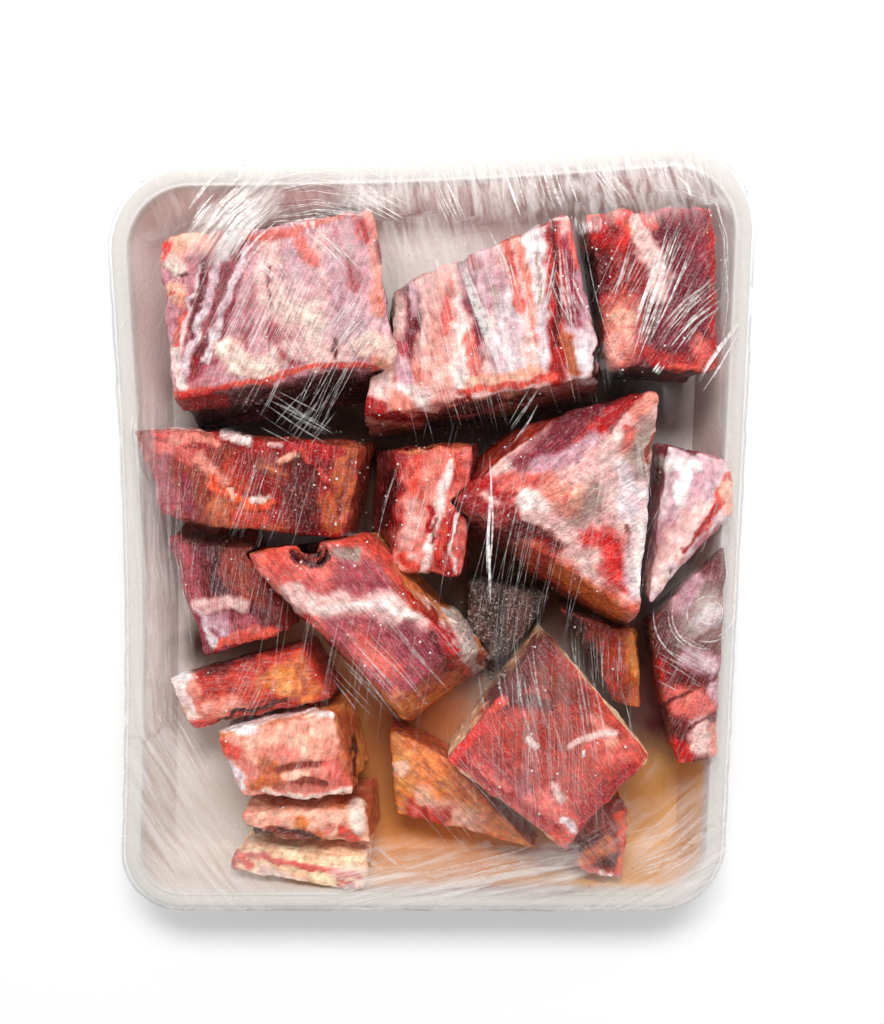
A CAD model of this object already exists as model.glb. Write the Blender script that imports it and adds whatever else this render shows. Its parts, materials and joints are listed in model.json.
# %% [markdown]
# This lesson dresses a pack of raw bone-in meat: nineteen sawn chunks on a white foam
# tray, under clear stretch film. The solid model gives every chunk its place and size.
# Here each one gets a fine skin, its colours and its wet shine, and the film gets its
# creases. Everything is worked out in millimetres and turned to metres at the end.

# %% Load the solid model
import json
import math

import bmesh
import bpy
import numpy as np
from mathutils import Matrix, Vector
from mathutils.bvhtree import BVHTree


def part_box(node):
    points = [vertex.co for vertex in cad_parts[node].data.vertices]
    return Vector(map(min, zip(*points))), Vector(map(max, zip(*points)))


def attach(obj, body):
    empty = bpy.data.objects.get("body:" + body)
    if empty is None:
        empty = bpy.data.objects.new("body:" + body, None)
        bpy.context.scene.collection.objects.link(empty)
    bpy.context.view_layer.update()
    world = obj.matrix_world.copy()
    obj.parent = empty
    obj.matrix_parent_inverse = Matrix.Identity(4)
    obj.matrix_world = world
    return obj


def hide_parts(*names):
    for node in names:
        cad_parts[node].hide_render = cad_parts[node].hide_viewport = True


MM = 0.001
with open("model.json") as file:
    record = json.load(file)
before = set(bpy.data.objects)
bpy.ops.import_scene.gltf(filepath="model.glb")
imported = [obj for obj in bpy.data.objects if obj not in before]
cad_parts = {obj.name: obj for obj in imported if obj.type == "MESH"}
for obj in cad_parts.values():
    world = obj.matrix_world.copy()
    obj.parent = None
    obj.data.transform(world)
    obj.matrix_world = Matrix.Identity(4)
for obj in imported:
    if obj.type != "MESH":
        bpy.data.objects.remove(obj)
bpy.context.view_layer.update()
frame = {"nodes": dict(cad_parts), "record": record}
node_slots = {part["node"]: part["material_slot"] for part in frame["record"]["subparts"]}
chunk_names = [name for name in frame["nodes"] if name not in ("foam_tray", "film_wrap")]
print(len(chunk_names), "chunks of meat")

# %% [markdown]
# The photograph looks straight down on the pack from less than half a metre, so the
# camera goes there first. Its place in metres and its turn in degrees were fitted to
# the tray's four corners in the photograph. Colours are laid on a flat plan, a sheet
# of millimetres at about the height of the chunks, and carried along the camera's
# lines of sight on to the meat. That puts each streak of fat where the photograph has
# it, however high the chunk stands, and it stays there when seen from another side.

# %% Camera
CAMERA_PLACE = (0.0183, 0.0642, 0.3885)
CAMERA_TURN = (-8.27, 1.99, -0.16)
CAMERA_LENS = 42.19
NEAREST_SEEN = 0.01

camera_data = bpy.data.cameras.new("camera")
camera_data.lens = CAMERA_LENS
camera_data.clip_start = NEAREST_SEEN
camera = bpy.data.objects.new("camera", camera_data)
camera.location = CAMERA_PLACE
camera.rotation_euler = [math.radians(angle) for angle in CAMERA_TURN]
bpy.context.scene.collection.objects.link(camera)
bpy.context.scene.camera = camera
eye = np.array(camera.location) / MM
print("camera", [round(float(v)) for v in eye], "mm from the base")

# %% Places on the plan
PLAN_HEIGHT = 38.0


def on_plan(points):
    """Where the camera's lines of sight through these points cross the plan, in mm."""
    reach = (PLAN_HEIGHT - eye[2]) / (points[:, 2] - eye[2])
    return eye[:2] + (points[:, :2] - eye[:2]) * reach[:, None]


def seen_from_plan(place, trees):
    """The first surface that the camera sees at a place on the plan: point and normal."""
    start = Vector(eye)
    sight = (Vector((place[0], place[1], PLAN_HEIGHT)) - start).normalized()
    hits = [tree.ray_cast(start, sight) for tree in trees]
    hits = [hit for hit in hits if hit[0] is not None]
    if not hits:
        return None, None
    nearest = min(hits, key=lambda hit: hit[3])
    return nearest[0], nearest[1]


print("plan at", PLAN_HEIGHT, "mm")

# %% [markdown]
# Meat is uneven at every scale. A lattice of random numbers, smoothed between its
# points, gives soft bumps of any width, and the same numbers come out at every run.

# %% Soft random bumps
LATTICE = 256
SEED_SHIFT = 17.3
lattice_order = np.random.default_rng(7).permutation(LATTICE)
lattice_heights = np.random.default_rng(8).uniform(-1, 1, LATTICE)


def bumps(points, width, seed=0):
    """Smooth random heights from -1 to 1, in bumps about this many mm wide."""
    scaled = points / width + seed * SEED_SHIFT
    cell = np.floor(scaled).astype(int)
    part = scaled - cell
    part = part * part * (3 - 2 * part)
    total = np.zeros(len(points))
    for corner in np.ndindex(2, 2, 2):
        share = np.prod(np.where(corner, part, 1 - part), axis=1)
        x, y, z = ((cell + corner) % LATTICE).T
        turned = lattice_order[(lattice_order[(lattice_order[x] + y) % LATTICE] + z) % LATTICE]
        total += share * lattice_heights[turned]
    return total


print("bumps at three places", bumps(np.array([[1.0, 2, 3], [4, 5, 6], [7, 8, 9]]), 2.5).round(2))

# %% [markdown]
# The finishes are the colours that a butcher would name: membrane, bone, fat, lean
# and juice. One function turns the familiar hex values into the linear numbers that
# Blender mixes with.

# %% Finishes
HEX = {
    "membrane": "#CDA0A6", "lilac": "#C8A6AE", "lilac_white": "#E0CED1", "mauve": "#A8646C",
    "dusky": "#8A4656", "plum": "#6E3040", "deep_plum": "#44202C", "wine": "#641820",
    "lean": "#8E1A20", "crimson": "#A81C26", "blood": "#C01A1E", "bright": "#DA3A34",
    "dark_lean": "#5A0E14", "black_red": "#2A0B0D", "salmon": "#E59484", "rose": "#DC7A70",
    "coral": "#D8604E", "peach": "#F0B49C", "pale_pink": "#ECC4BE", "pink_white": "#F5DED8",
    "cream": "#F2D8CA", "marrow": "#F8D2AA", "white": "#F6F1EE", "brick": "#B85240",
    "rust": "#A84A26", "orange_fat": "#E2622E", "amber": "#C87A3E", "tan": "#B87450",
    "brown": "#8A4C38", "dark_brown": "#4C2A20", "olive": "#94845A", "gold": "#B98C50",
    "grey_haze": "#A8968F", "ash": "#5A4A44", "smoke": "#3C3634", "foam_white": "#D3CEC9",
    "foam_blush": "#F0DEDA", "foam_cream": "#DCD0C4", "juice_stain": "#ECB36A",
    "old_fat": "#DC9450", "apricot": "#E8965C", "bone_pink": "#E6AEA4",
}


def linear(colour):
    """The linear red, green and blue of an sRGB hex colour."""
    steps = [int(colour[k:k + 2], 16) / 255 for k in (1, 3, 5)]
    return [s / 12.92 if s <= 0.04045 else ((s + 0.055) / 1.055) ** 2.4 for s in steps]


finish = {name: np.array(linear(colour)) for name, colour in HEX.items()}
print(len(finish), "finishes")

# %% Brush strokes
LEAST_EDGE, EDGE_GROWTH, WIDEST_EDGE = 0.3, 0.05, 0.8
ACROSS_SEED, ALONG_SEED = 31, 47
RAGGED = ((3.6, 1.0), (1.3, 0.5))
WANDERING = ((9.0, 2.6), (3.6, 1.6), (1.6, 0.8))
BROAD = 5.0


def ragged(points, plan, seed, shakes=RAGGED):
    """The plan with its places shaken, so that a stroke's edge runs ragged."""
    shaken = plan.copy()
    for width, shift in shakes:
        shaken[:, 0] += shift * bumps(points, width, seed + ACROSS_SEED)
        shaken[:, 1] += shift * bumps(points, width, seed + ALONG_SEED)
    return shaken


def stroke_weight(plan, width, route):
    """1 inside a stroke of this width along its route, 0 outside, softer if it's broad."""
    distance = np.full(len(plan), np.inf)
    for start, end in zip(route, route[1:] or route):
        start, end = np.array(start, float), np.array(end, float)
        run = end - start
        share = np.clip((plan - start) @ run / max(run @ run, 1e-9), 0, 1)
        distance = np.minimum(distance, np.linalg.norm(plan - start - share[:, None] * run, axis=1))
    edge = min(LEAST_EDGE + EDGE_GROWTH * width ** 2, width * WIDEST_EDGE + LEAST_EDGE)
    return np.clip((width / 2 - distance) / edge + 0.5, 0, 1)


def paint(points, plan, colours, strokes, seed):
    """Lays the strokes on the colours, and returns how far each one lifts the skin."""
    lift = np.zeros(len(points))
    narrow, broad = ragged(points, plan, seed), ragged(points, plan, seed, WANDERING)
    for name, width, height, route in strokes:
        weight = stroke_weight(broad if width > BROAD else narrow, width, route)
        colours += weight[:, None] * (finish[name] - colours)
        lift += height * weight
    return lift


print("strokes over", BROAD, "mm wide wander most")

# %% [markdown]
# Every chunk gets its own strokes, in the order that they are laid: the broad fields
# first, then bands of fat and bone, then red marrow and thin grooves. Each one has a
# finish, a width, how far it lifts or sinks the skin, and its route on the plan, all
# in millimetres. Top, side and grain say what shows on the cut faces, and which way
# the fibres run, in degrees from the tray's width.

# %% Far row of chunks
meats = {}
meats["rib_slab_left"] = dict(top="membrane", side="black_red", grain=68, strokes=[
    ("mauve", 11, 0.0, [(-60, 90), (-64, 72), (-67, 55)]),
    ("plum", 3.0, -0.5, [(-62, 86), (-65, 70), (-68, 56)]),
    ("dusky", 3.0, -0.3, [(-55, 88), (-60, 70), (-65, 54)]),
    ("dusky", 3.2, -0.3, [(-51, 90), (-56, 74), (-61, 58)]),
    ("mauve", 3.0, -0.2, [(-47, 80), (-51, 66), (-53, 58)]),
    ("plum", 2.0, -0.4, [(-64, 62), (-66, 54)]),
    ("lean", 2.0, -0.3, [(-66, 59), (-66, 54)]),
    ("pale_pink", 7, 0.5, [(-44, 92), (-42, 74), (-41, 60)]),
    ("lilac", 9, 0.2, [(-36, 88), (-34, 80)]),
    ("cream", 9, 0.6, [(-38, 75), (-31, 71), (-28, 62)]),
    ("pale_pink", 8, 0.3, [(-28, 90), (-26, 76)]),
    ("lilac", 11, 0.3, [(-23, 84), (-21, 70), (-20, 62)]),
    ("mauve", 3.5, -0.3, [(-20, 86), (-19, 79)]),
    ("rose", 3.5, 0.0, [(-35, 92), (-31, 86)]),
    ("dusky", 1.0, -0.7, [(-43.6, 84), (-44, 72), (-44, 60)]),
    ("mauve", 6, 0.0, [(-42, 66), (-38, 60)]),
    ("cream", 6, 0.8, [(-57, 60), (-51, 56), (-45, 54)]),
    ("pale_pink", 5, 0.4, [(-38, 62), (-30, 60), (-22, 60)]),
    ("lilac_white", 2.4, 0.4, [(-54, 95), (-60, 80), (-66, 64), (-71, 51)]),
    ("lilac_white", 1.8, 0.4, [(-50, 90), (-57, 74), (-63, 58)]),
    ("lilac_white", 1.2, 0.3, [(-64, 84), (-69, 66)]),
    ("rose", 2.6, 0.4, [(-50, 93), (-42, 93), (-30, 97), (-20, 101)]),
    ("pink_white", 3.0, 0.4, [(-69, 68), (-72, 56), (-70, 50)]),
    ("rose", 2.0, 0.2, [(-69, 72), (-71, 62)]),
    ("peach", 8, 0.6, [(-75, 91), (-70, 92), (-64, 93)]),
    ("bright", 2.6, -0.6, [(-73, 91), (-73.6, 88)]),
    ("cream", 4.5, 0.6, [(-72, 86), (-70, 84)]),
    ("deep_plum", 1.4, -0.5, [(-69, 82.6), (-68, 83)]),
    ("peach", 4.5, 0.5, [(-71, 78), (-69.5, 75.5)]),
    ("coral", 1.6, -0.2, [(-71.2, 76.3)]),
    ("salmon", 3.6, 0.5, [(-15, 99), (-12.8, 91), (-13, 80), (-12, 72)]),
    ("blood", 3.6, -0.5, [(-18.6, 101), (-17, 97), (-16, 93)]),
    ("lean", 1.4, 0.0, [(-12.4, 92), (-12, 86)]),
    ("wine", 1.4, -0.4, [(-25, 64), (-24.5, 59)]),
    ("coral", 2.0, 0.2, [(-72, 48), (-52, 51), (-38, 54), (-30, 57), (-13, 56)]),
    ("cream", 6, 1.0, [(-16, 63), (-11, 62), (-9, 60)]),
    ("peach", 2.6, 0.4, [(-14, 58), (-10, 57)]),
    ("black_red", 9, 0.0, [(-66, 41), (-52, 44), (-38, 47), (-28, 50), (-13, 49)]),
    ("lean", 4, 0.0, [(-71, 45), (-64, 46), (-58, 45)]),
    ("bright", 1.6, 0.0, [(-70, 47), (-62, 48)]),
])
meats["rib_slab_middle"] = dict(top="pale_pink", side="brown", grain=92, strokes=[
    ("ash", 4, -0.4, [(-10.5, 79), (-10, 66)]),
    ("plum", 6, -0.3, [(-5, 80), (-3.5, 72), (-4.5, 60)]),
    ("mauve", 4, 0.0, [(-6, 62), (-6, 52)]),
    ("lilac", 1.8, 0.2, [(-2.4, 80), (-2.2, 71)]),
    ("bone_pink", 10.5, 0.5, [(6, 86), (5.5, 70), (5.5, 58), (6, 46)]),
    ("rose", 2.4, 0.0, [(8, 80), (7, 66)]),
    ("pale_pink", 1.8, 0.5, [(0.3, 78), (1, 62), (1, 48)]),
    ("pink_white", 2.6, 0.6, [(11, 74), (12, 60), (12, 50)]),
    ("dusky", 5.5, -0.3, [(13, 86), (16, 74), (18, 60)]),
    ("deep_plum", 2.4, -0.8, [(11.6, 88), (14, 79), (18.6, 66)]),
    ("rose", 4, 0.0, [(14, 64), (16, 54)]),
    ("lilac", 9, 0.2, [(16, 88), (20, 80), (22, 74)]),
    ("mauve", 3.4, 0.0, [(14.5, 88), (16, 85)]),
    ("grey_haze", 2.0, 0.0, [(21, 78), (23, 66)]),
    ("lilac_white", 8, 0.3, [(24, 74), (25, 62), (28, 55)]),
    ("rose", 2.6, 0.2, [(23, 96), (26, 84), (29, 72)]),
    ("salmon", 2.2, 0.4, [(27, 93), (31, 78), (34, 62)]),
    ("lilac_white", 5, 0.5, [(32, 93), (34.5, 80), (36, 66), (36, 58)]),
    ("grey_haze", 1.6, 0.0, [(33.5, 88), (35, 74)]),
    ("crimson", 5, 0.0, [(38, 99), (38.4, 88), (39, 70), (39.4, 53)]),
    ("dark_lean", 1.6, -0.5, [(38, 96), (38.6, 80), (39.2, 62)]),
    ("crimson", 4, 0.3, [(24, 96), (30, 98), (36, 99)]),
    ("bright", 2.0, 0.2, [(26, 97), (32, 97.5)]),
    ("dusky", 5, 0.0, [(42.6, 92), (44, 78), (45, 66)]),
    ("rose", 5, 0.3, [(45, 98), (46, 86)]),
    ("lilac", 3.6, 0.2, [(46.6, 82), (47, 70)]),
    ("lilac_white", 7, 0.3, [(46.5, 64), (48, 54)]),
    ("tan", 4, 0.0, [(42, 64), (44, 55)]),
    ("black_red", 1.8, -0.8, [(50.6, 92), (50.8, 72), (51, 52)]),
    ("salmon", 9, 0.4, [(-3, 52), (-6, 46), (-4, 43)]),
    ("pink_white", 5, 0.2, [(-5, 50), (1, 46)]),
    ("lilac", 5, 0.0, [(-6, 57), (-4, 52)]),
    ("salmon", 3.0, 0.3, [(-8, 80), (0, 84), (10, 90)]),
    ("peach", 3.0, 0.2, [(14, 52), (24, 53), (34, 54.5)]),
    ("coral", 2.4, 0.2, [(12, 49), (20, 50), (30, 51), (38, 53.5)]),
    ("lean", 2.4, 0.0, [(-20, 44), (-12, 41.5), (0, 41.5), (8, 43), (14, 47)]),
    ("crimson", 4.0, 0.0, [(-18, 46), (-12, 44)]),
    ("dark_brown", 3.0, 0.0, [(6, 42), (20, 45.4), (34, 48)]),
    ("smoke", 4.4, 0.0, [(3, 39), (12, 38), (19, 39.6)]),
    ("olive", 4.0, 0.3, [(22, 40), (29, 41.4), (34, 41)]),
    ("brown", 4.0, 0.0, [(20, 34), (30, 37)]),
])
meats["block_far_right"] = dict(top="plum", side="black_red", grain=62, strokes=[
    ("dusky", 12, 0.0, [(74, 98), (77, 86), (78, 70)]),
    ("plum", 9, 0.0, [(72, 92), (76, 80), (80, 68)]),
    ("lean", 10, 0.0, [(57, 92), (58, 80), (57, 74)]),
    ("lean", 5, 0.0, [(63, 84), (64, 74)]),
    ("wine", 3.0, -0.3, [(52, 92), (52, 78)]),
    ("crimson", 5, 0.2, [(47, 98), (47.4, 91)]),
    ("crimson", 5, 0.2, [(52, 99), (51.4, 92)]),
    ("coral", 3.6, 0.2, [(48, 99.6), (54, 102)]),
    ("peach", 5.5, 0.6, [(56, 103), (57.4, 99)]),
    ("bright", 6.5, 0.3, [(58.4, 97.6), (59, 93)]),
    ("orange_fat", 3.0, 0.1, [(59, 97), (59.6, 94)]),
    ("pale_pink", 5.4, 0.4, [(62, 97), (65.4, 91), (68, 84), (70, 76)]),
    ("rose", 3.4, 0.0, [(66, 96), (62, 103)]),
    ("mauve", 5, 0.0, [(66, 102), (72, 99)]),
    ("coral", 2.6, 0.3, [(61, 104), (68, 103.4), (73, 103)]),
    ("bright", 3.4, 0.3, [(74, 103), (80, 101)]),
    ("crimson", 4.0, 0.6, [(83, 99), (84, 90), (85, 80), (85.4, 68), (83.6, 57)]),
    ("orange_fat", 2.0, 0.2, [(85, 92), (86, 84)]),
    ("peach", 2.2, 0.5, [(85.4, 88), (85, 85)]),
    ("salmon", 2.2, 0.5, [(86, 78), (86.4, 74)]),
    ("rose", 5, 0.0, [(80, 62), (82, 56)]),
    ("salmon", 11, 0.8, [(57.4, 69), (56.8, 60)]),
    ("peach", 4, 0.2, [(56, 70), (60, 70)]),
    ("crimson", 4.5, 0.0, [(64, 61), (70, 57.4), (78, 57)]),
    ("coral", 1.4, 0.2, [(72, 56), (78, 55.4), (83, 54)]),
    ("black_red", 5, 0.0, [(53, 52.6), (62, 53), (69, 52)]),
    ("dark_lean", 5, 0.0, [(72, 52), (80, 51)]),
])
print("strokes on the far row", [len(meats[name]["strokes"]) for name in meats])

# %% Middle rows of chunks
meats["marbled_block"] = dict(top="lean", side="brown", grain=80, strokes=[
    ("mauve", 12, 0.0, [(-77, 28), (-74, 14)]),
    ("brown", 10, 0.0, [(-67, 24), (-66, 12)]),
    ("dusky", 3.0, -0.2, [(-70, 24), (-69, 12)]),
    ("brown", 6, -0.3, [(-60, 30), (-56, 27)]),
    ("rust", 6, 0.0, [(-55, 28), (-52, 21)]),
    ("tan", 8, 0.2, [(-60, 12), (-52, 9.6), (-44, 8)]),
    ("brick", 4, 0.2, [(-56, 12), (-48, 11)]),
    ("lean", 7, 0.0, [(-52, 31), (-46, 24)]),
    ("brown", 6, 0.0, [(-46, 28), (-40, 23)]),
    ("tan", 2.0, 0.2, [(-46, 27), (-40, 24)]),
    ("dark_lean", 9, 0.0, [(-38, 28), (-36, 19), (-35, 9)]),
    ("lean", 6, 0.0, [(-30, 30), (-28, 20), (-28, 10)]),
    ("dark_lean", 4, -0.4, [(-33, 26), (-32, 14)]),
    ("tan", 6, 0.3, [(-20.4, 31), (-23.6, 20), (-26.4, 8)]),
    ("brown", 1.6, -0.2, [(-21, 28), (-25, 12)]),
    ("crimson", 3.0, 0.0, [(-28, 31), (-24, 31)]),
    ("pink_white", 3.2, 0.6, [(-79, 39), (-72, 37.6), (-66, 36.4)]),
    ("bright", 2.2, 0.0, [(-79, 36.4), (-72, 35.6)]),
    ("salmon", 3.6, 0.4, [(-74, 34.4), (-66, 35), (-60, 34.6)]),
    ("rose", 3.0, 0.0, [(-79, 33), (-72, 31), (-67, 29)]),
    ("crimson", 3.0, 0.3, [(-60, 36), (-50, 32), (-40, 33), (-32, 32)]),
    ("pink_white", 2.4, 0.8, [(-58, 36), (-54, 34.6), (-51, 34)]),
    ("pale_pink", 1.6, 0.6, [(-44.4, 33.4), (-42, 33)]),
    ("peach", 2.2, 0.6, [(-41, 29), (-38, 30.4)]),
    ("coral", 2.0, 0.5, [(-36, 32), (-34, 29)]),
    ("coral", 1.6, 0.5, [(-30, 26), (-28, 22)]),
    ("salmon", 3.4, 0.9, [(-66, 29), (-62, 24.4), (-58, 22)]),
    ("orange_fat", 5.2, 0.8, [(-62, 21), (-58, 17.6), (-55, 16)]),
    ("orange_fat", 3.0, 0.8, [(-55, 16.6), (-50, 15.4), (-45, 16)]),
    ("cream", 1.6, 0.6, [(-50, 17), (-46, 17.6)]),
    ("peach", 1.2, 0.4, [(-56, 20), (-55.6, 17)]),
    ("tan", 2.4, 0.3, [(-63, 13), (-62, 15)]),
    ("dark_brown", 2.4, 0.0, [(-66, 7), (-54, 4), (-44, 2)]),
])
meats["purple_block"] = dict(top="dusky", side="brick", grain=88, strokes=[
    ("dark_brown", 7, -0.3, [(-70, 5), (-60, 5), (-50, 2)]),
    ("mauve", 5, 0.3, [(-72, 1), (-70, -7), (-67, -14)]),
    ("deep_plum", 9, 0.0, [(-63, -1), (-61, -10)]),
    ("brown", 9, 0.0, [(-54, 0), (-51, -12)]),
    ("wine", 3.0, 0.0, [(-65, -2), (-64, -12)]),
    ("plum", 7, 0.0, [(-56, -17), (-48, -18)]),
    ("pale_pink", 4.4, 0.7, [(-67, -16), (-60, -14.6), (-54, -15)]),
    ("lilac", 6, 0.3, [(-64, -20), (-60, -23)]),
    ("mauve", 5, 0.0, [(-56, -22), (-52, -20)]),
    ("wine", 4, 0.0, [(-46, -19), (-43, -22)]),
    ("coral", 3.0, 0.4, [(-62, -27), (-54, -25.6), (-45, -23)]),
    ("rose", 2.0, 0.2, [(-58, -24), (-50, -23)]),
    ("lilac_white", 2.0, 0.2, [(-67, -18), (-63, -27)]),
])
meats["bone_strip"] = dict(top="rose", side="dark_lean", grain=96, strokes=[
    ("lean", 5, 0.0, [(-6, 30), (-8, 18), (-9, 4)]),
    ("dark_lean", 4, 0.0, [(-9, 24), (-11, 10)]),
    ("tan", 6, 0.2, [(-2, 34), (5, 35), (10, 34)]),
    ("rose", 6, 0.2, [(-3, 24), (-5, 12)]),
    ("coral", 3.0, 0.0, [(-1, 30), (-3, 20)]),
    ("salmon", 5, 0.3, [(4, 28), (3, 18)]),
    ("bone_pink", 6, 0.4, [(-3, 14), (-4, 4), (-4, -1)]),
    ("pink_white", 2.6, 0.5, [(8.4, 27), (6, 16), (2.4, 6), (0.6, -5)]),
    ("pale_pink", 1.8, 0.2, [(6, 24), (4.4, 14)]),
    ("crimson", 1.7, -0.6, [(2.6, 15), (1.4, 7.6)]),
    ("lean", 1.2, -0.3, [(4.2, 12), (2.6, 4)]),
    ("crimson", 4.4, 0.4, [(9.4, 12), (7, 4), (6, -3), (9, -7)]),
    ("coral", 2.0, 0.4, [(7, 9), (5.6, 0)]),
    ("pink_white", 1.0, 0.4, [(10.4, 13), (9, 3), (10, -5)]),
    ("brick", 2.6, 0.0, [(11, 30), (10.4, 23)]),
    ("coral", 3.0, 0.2, [(-6, 0), (-2, -4)]),
])
meats["notched_slab"] = dict(top="mauve", side="apricot", grain=-52, strokes=[
    ("coral", 8, 0.2, [(-47, -2), (-41, 1), (-37, -1)]),
    ("rose", 9, 0.2, [(-45, -8), (-38, -6), (-30, -3)]),
    ("rose", 8, 0.2, [(-28, 2), (-20, 4), (-14, -1)]),
    ("coral", 5, 0.2, [(-24, 6), (-18, 6.4), (-11, -1)]),
    ("mauve", 8, 0.0, [(-22, -5), (-12, -9)]),
    ("dusky", 4, -0.2, [(-14, -9), (-6, -14)]),
    ("mauve", 5, 0.0, [(-40, -12), (-35, -11)]),
    ("grey_haze", 2.6, -0.2, [(-39, -11), (-36, -10.6)]),
    ("black_red", 8.0, -5.5, [(-35, 9), (-34, 5), (-32.5, 2)]),
    ("deep_plum", 2.4, -0.8, [(-38, 1), (-33, -3), (-28.6, 0)]),
    ("grey_haze", 4, -0.4, [(-25, 1.4), (-20, 0.6)]),
    ("pale_pink", 6, 0.4, [(-42, -13.6), (-34, -14), (-24, -11)]),
    ("pale_pink", 8, 0.4, [(-34, -17), (-20, -15.4), (-8, -17), (0, -18.6)]),
    ("pink_white", 2.6, 0.4, [(-30, -16), (-20, -15), (-9, -16.4), (-1, -18)]),
    ("bright", 4, 0.0, [(-38, -18.6), (-34, -20)]),
    ("rose", 4, 0.0, [(-32, -20), (-28, -26)]),
    ("mauve", 15, 0.0, [(-22, -26), (-10, -30), (-2, -36)]),
    ("dusky", 9, 0.0, [(-6, -24), (4, -30)]),
    ("rose", 7, 0.0, [(-18, -28), (-10, -36)]),
    ("salmon", 2.2, 0.3, [(-37, -22), (-28, -32), (-18, -40), (-8, -45)]),
    ("rust", 2.8, 0.3, [(-8, -9), (-4, -13), (3, -19)]),
    ("coral", 2.0, 0.3, [(-11, -4), (-7, -8)]),
    ("crimson", 4.2, 0.0, [(4, -21), (9, -26), (9, -32)]),
    ("wine", 1.6, 0.0, [(2, -24), (8, -34)]),
    ("pink_white", 5.4, 0.9, [(8.6, -17), (11.6, -24), (14, -31), (18, -38)]),
    ("cream", 2.0, 0.3, [(9, -18), (14, -29)]),
    ("rose", 3.0, 0.2, [(12, -33), (16, -40)]),
    ("brown", 5, 0.0, [(-34, -30), (-28, -36), (-20, -42)]),
    ("apricot", 8, 0.2, [(-22, -44), (-10, -47.6), (0, -46), (9, -40)]),
    ("apricot", 5.0, 0.4, [(-26, -48), (-14, -51), (-2, -51)]),
    ("old_fat", 5, 0.0, [(-24, -52), (-8, -55), (3, -53)]),
    ("orange_fat", 3.0, 0.0, [(2, -47), (8, -44)]),
    ("wine", 5, 0.0, [(12, -42), (15, -48)]),
    ("black_red", 3.6, 0.0, [(4, -54), (9, -57)]),
])
print("strokes on the middle rows", [len(mix["strokes"]) for mix in list(meats.values())[3:]])

# %% Right-hand chunks
meats["pointed_wedge"] = dict(top="pale_pink", side="rust", grain=38, strokes=[
    ("plum", 13, 0.0, [(40, 36), (50, 42), (58, 49)]),
    ("crimson", 4, 0.0, [(46, 34), (56, 43), (62, 48)]),
    ("dusky", 9, 0.0, [(30, 29), (40, 31)]),
    ("lilac", 5, 0.0, [(34, 27), (44, 29), (50, 35)]),
    ("salmon", 4, 0.6, [(67.6, 48), (63, 43), (58.6, 38)]),
    ("pale_pink", 4, 0.6, [(60, 40), (54, 32), (46, 25.4), (38, 22)]),
    ("rose", 3.6, 0.0, [(60.4, 37), (59.4, 32)]),
    ("grey_haze", 8, 0.0, [(65, 40), (65, 24)]),
    ("brown", 2.0, -0.3, [(68, 36), (66, 28)]),
    ("pale_pink", 10, 0.0, [(54, 28), (52, 16)]),
    ("grey_haze", 9, 0.0, [(50, 17), (46, 13)]),
    ("lilac_white", 6, 0.0, [(60, 24), (62, 13)]),
    ("crimson", 5, 0.3, [(12, 20), (20, 22), (26, 18)]),
    ("lean", 6, 0.0, [(9.6, 16.4), (17, 14), (26, 12)]),
    ("rose", 5, 0.3, [(24, 22.6), (34, 22)]),
    ("crimson", 3.0, 0.0, [(28, 12), (34, 10)]),
    ("pink_white", 5.4, 0.8, [(29.6, 16.4), (34, 14)]),
    ("salmon", 8, 0.5, [(38, 20), (43, 18)]),
    ("peach", 3.0, 0.3, [(46, 20), (44, 16)]),
    ("pale_pink", 4.6, 0.6, [(32, 13), (40, 9), (48, 3), (54, -4), (60, -12)]),
    ("bright", 6.0, 0.0, [(50, 5.6), (56, 3)]),
    ("blood", 7.4, -0.3, [(56.6, 4), (58.6, -3), (60, -9)]),
    ("bright", 3.4, 0.0, [(55, 2), (58, -6)]),
    ("rose", 2.6, 0.3, [(54, 8.6), (57, 8.4)]),
    ("brown", 1.0, -0.5, [(60.4, 9), (62.2, 0), (62.6, -9)]),
    ("cream", 1.6, 0.5, [(61.8, -0.6), (62.2, -3)]),
    ("lilac_white", 7, 0.0, [(67, 18), (66.4, 5), (65, -6), (64.4, -12)]),
    ("pink_white", 1.8, 0.3, [(65, 18), (64, 4), (63.6, -8)]),
    ("salmon", 4.0, 0.6, [(57, -12.6), (62.6, -16), (67.6, -14)]),
    ("coral", 1.6, 0.2, [(60, -15), (66, -16)]),
    ("wine", 8, 0.0, [(16, 8), (26, 4)]),
    ("dark_lean", 6, 0.0, [(28, 9), (38, 4)]),
    ("rust", 9, 0.2, [(34, -1), (44, -7), (52, -13)]),
    ("amber", 5, 0.3, [(40, -4), (50, -11), (58, -17)]),
    ("amber", 3.4, 0.3, [(48, -16.6), (56, -19)]),
    ("dark_brown", 7, 0.0, [(16, 2), (26, -3)]),
])
meats["silver_skin_chunk"] = dict(top="lilac_white", side="mauve", grain=60, strokes=[
    ("lilac", 12, 0.0, [(80, 24), (76, 12), (72, 0)]),
    ("plum", 3.4, 0.0, [(70, 34.6), (75, 34), (80, 32)]),
    ("white", 6, 0.4, [(72, 28), (77, 27)]),
    ("white", 4, 0.3, [(77, 24), (76, 17)]),
    ("pale_pink", 8, 0.2, [(79, 12), (75, 2), (71, -8)]),
    ("lilac", 3.0, 0.0, [(84, 26), (82, 20)]),
    ("coral", 2.4, 0.2, [(89.6, 25), (86.6, 15), (83, 9)]),
    ("crimson", 1.6, -0.2, [(86.4, 15), (81, 6), (77.6, 2)]),
    ("peach", 3.0, 0.3, [(89, 22), (90, 14)]),
    ("mauve", 7, 0.0, [(86, 6), (86, 0)]),
    ("dusky", 4, -0.2, [(83, 1), (88, -1)]),
    ("lilac_white", 4, 0.3, [(74, -4), (80, -6), (87, -4)]),
    ("brown", 0.9, -0.3, [(73, -4), (73.4, -4.4)]),
])
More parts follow.
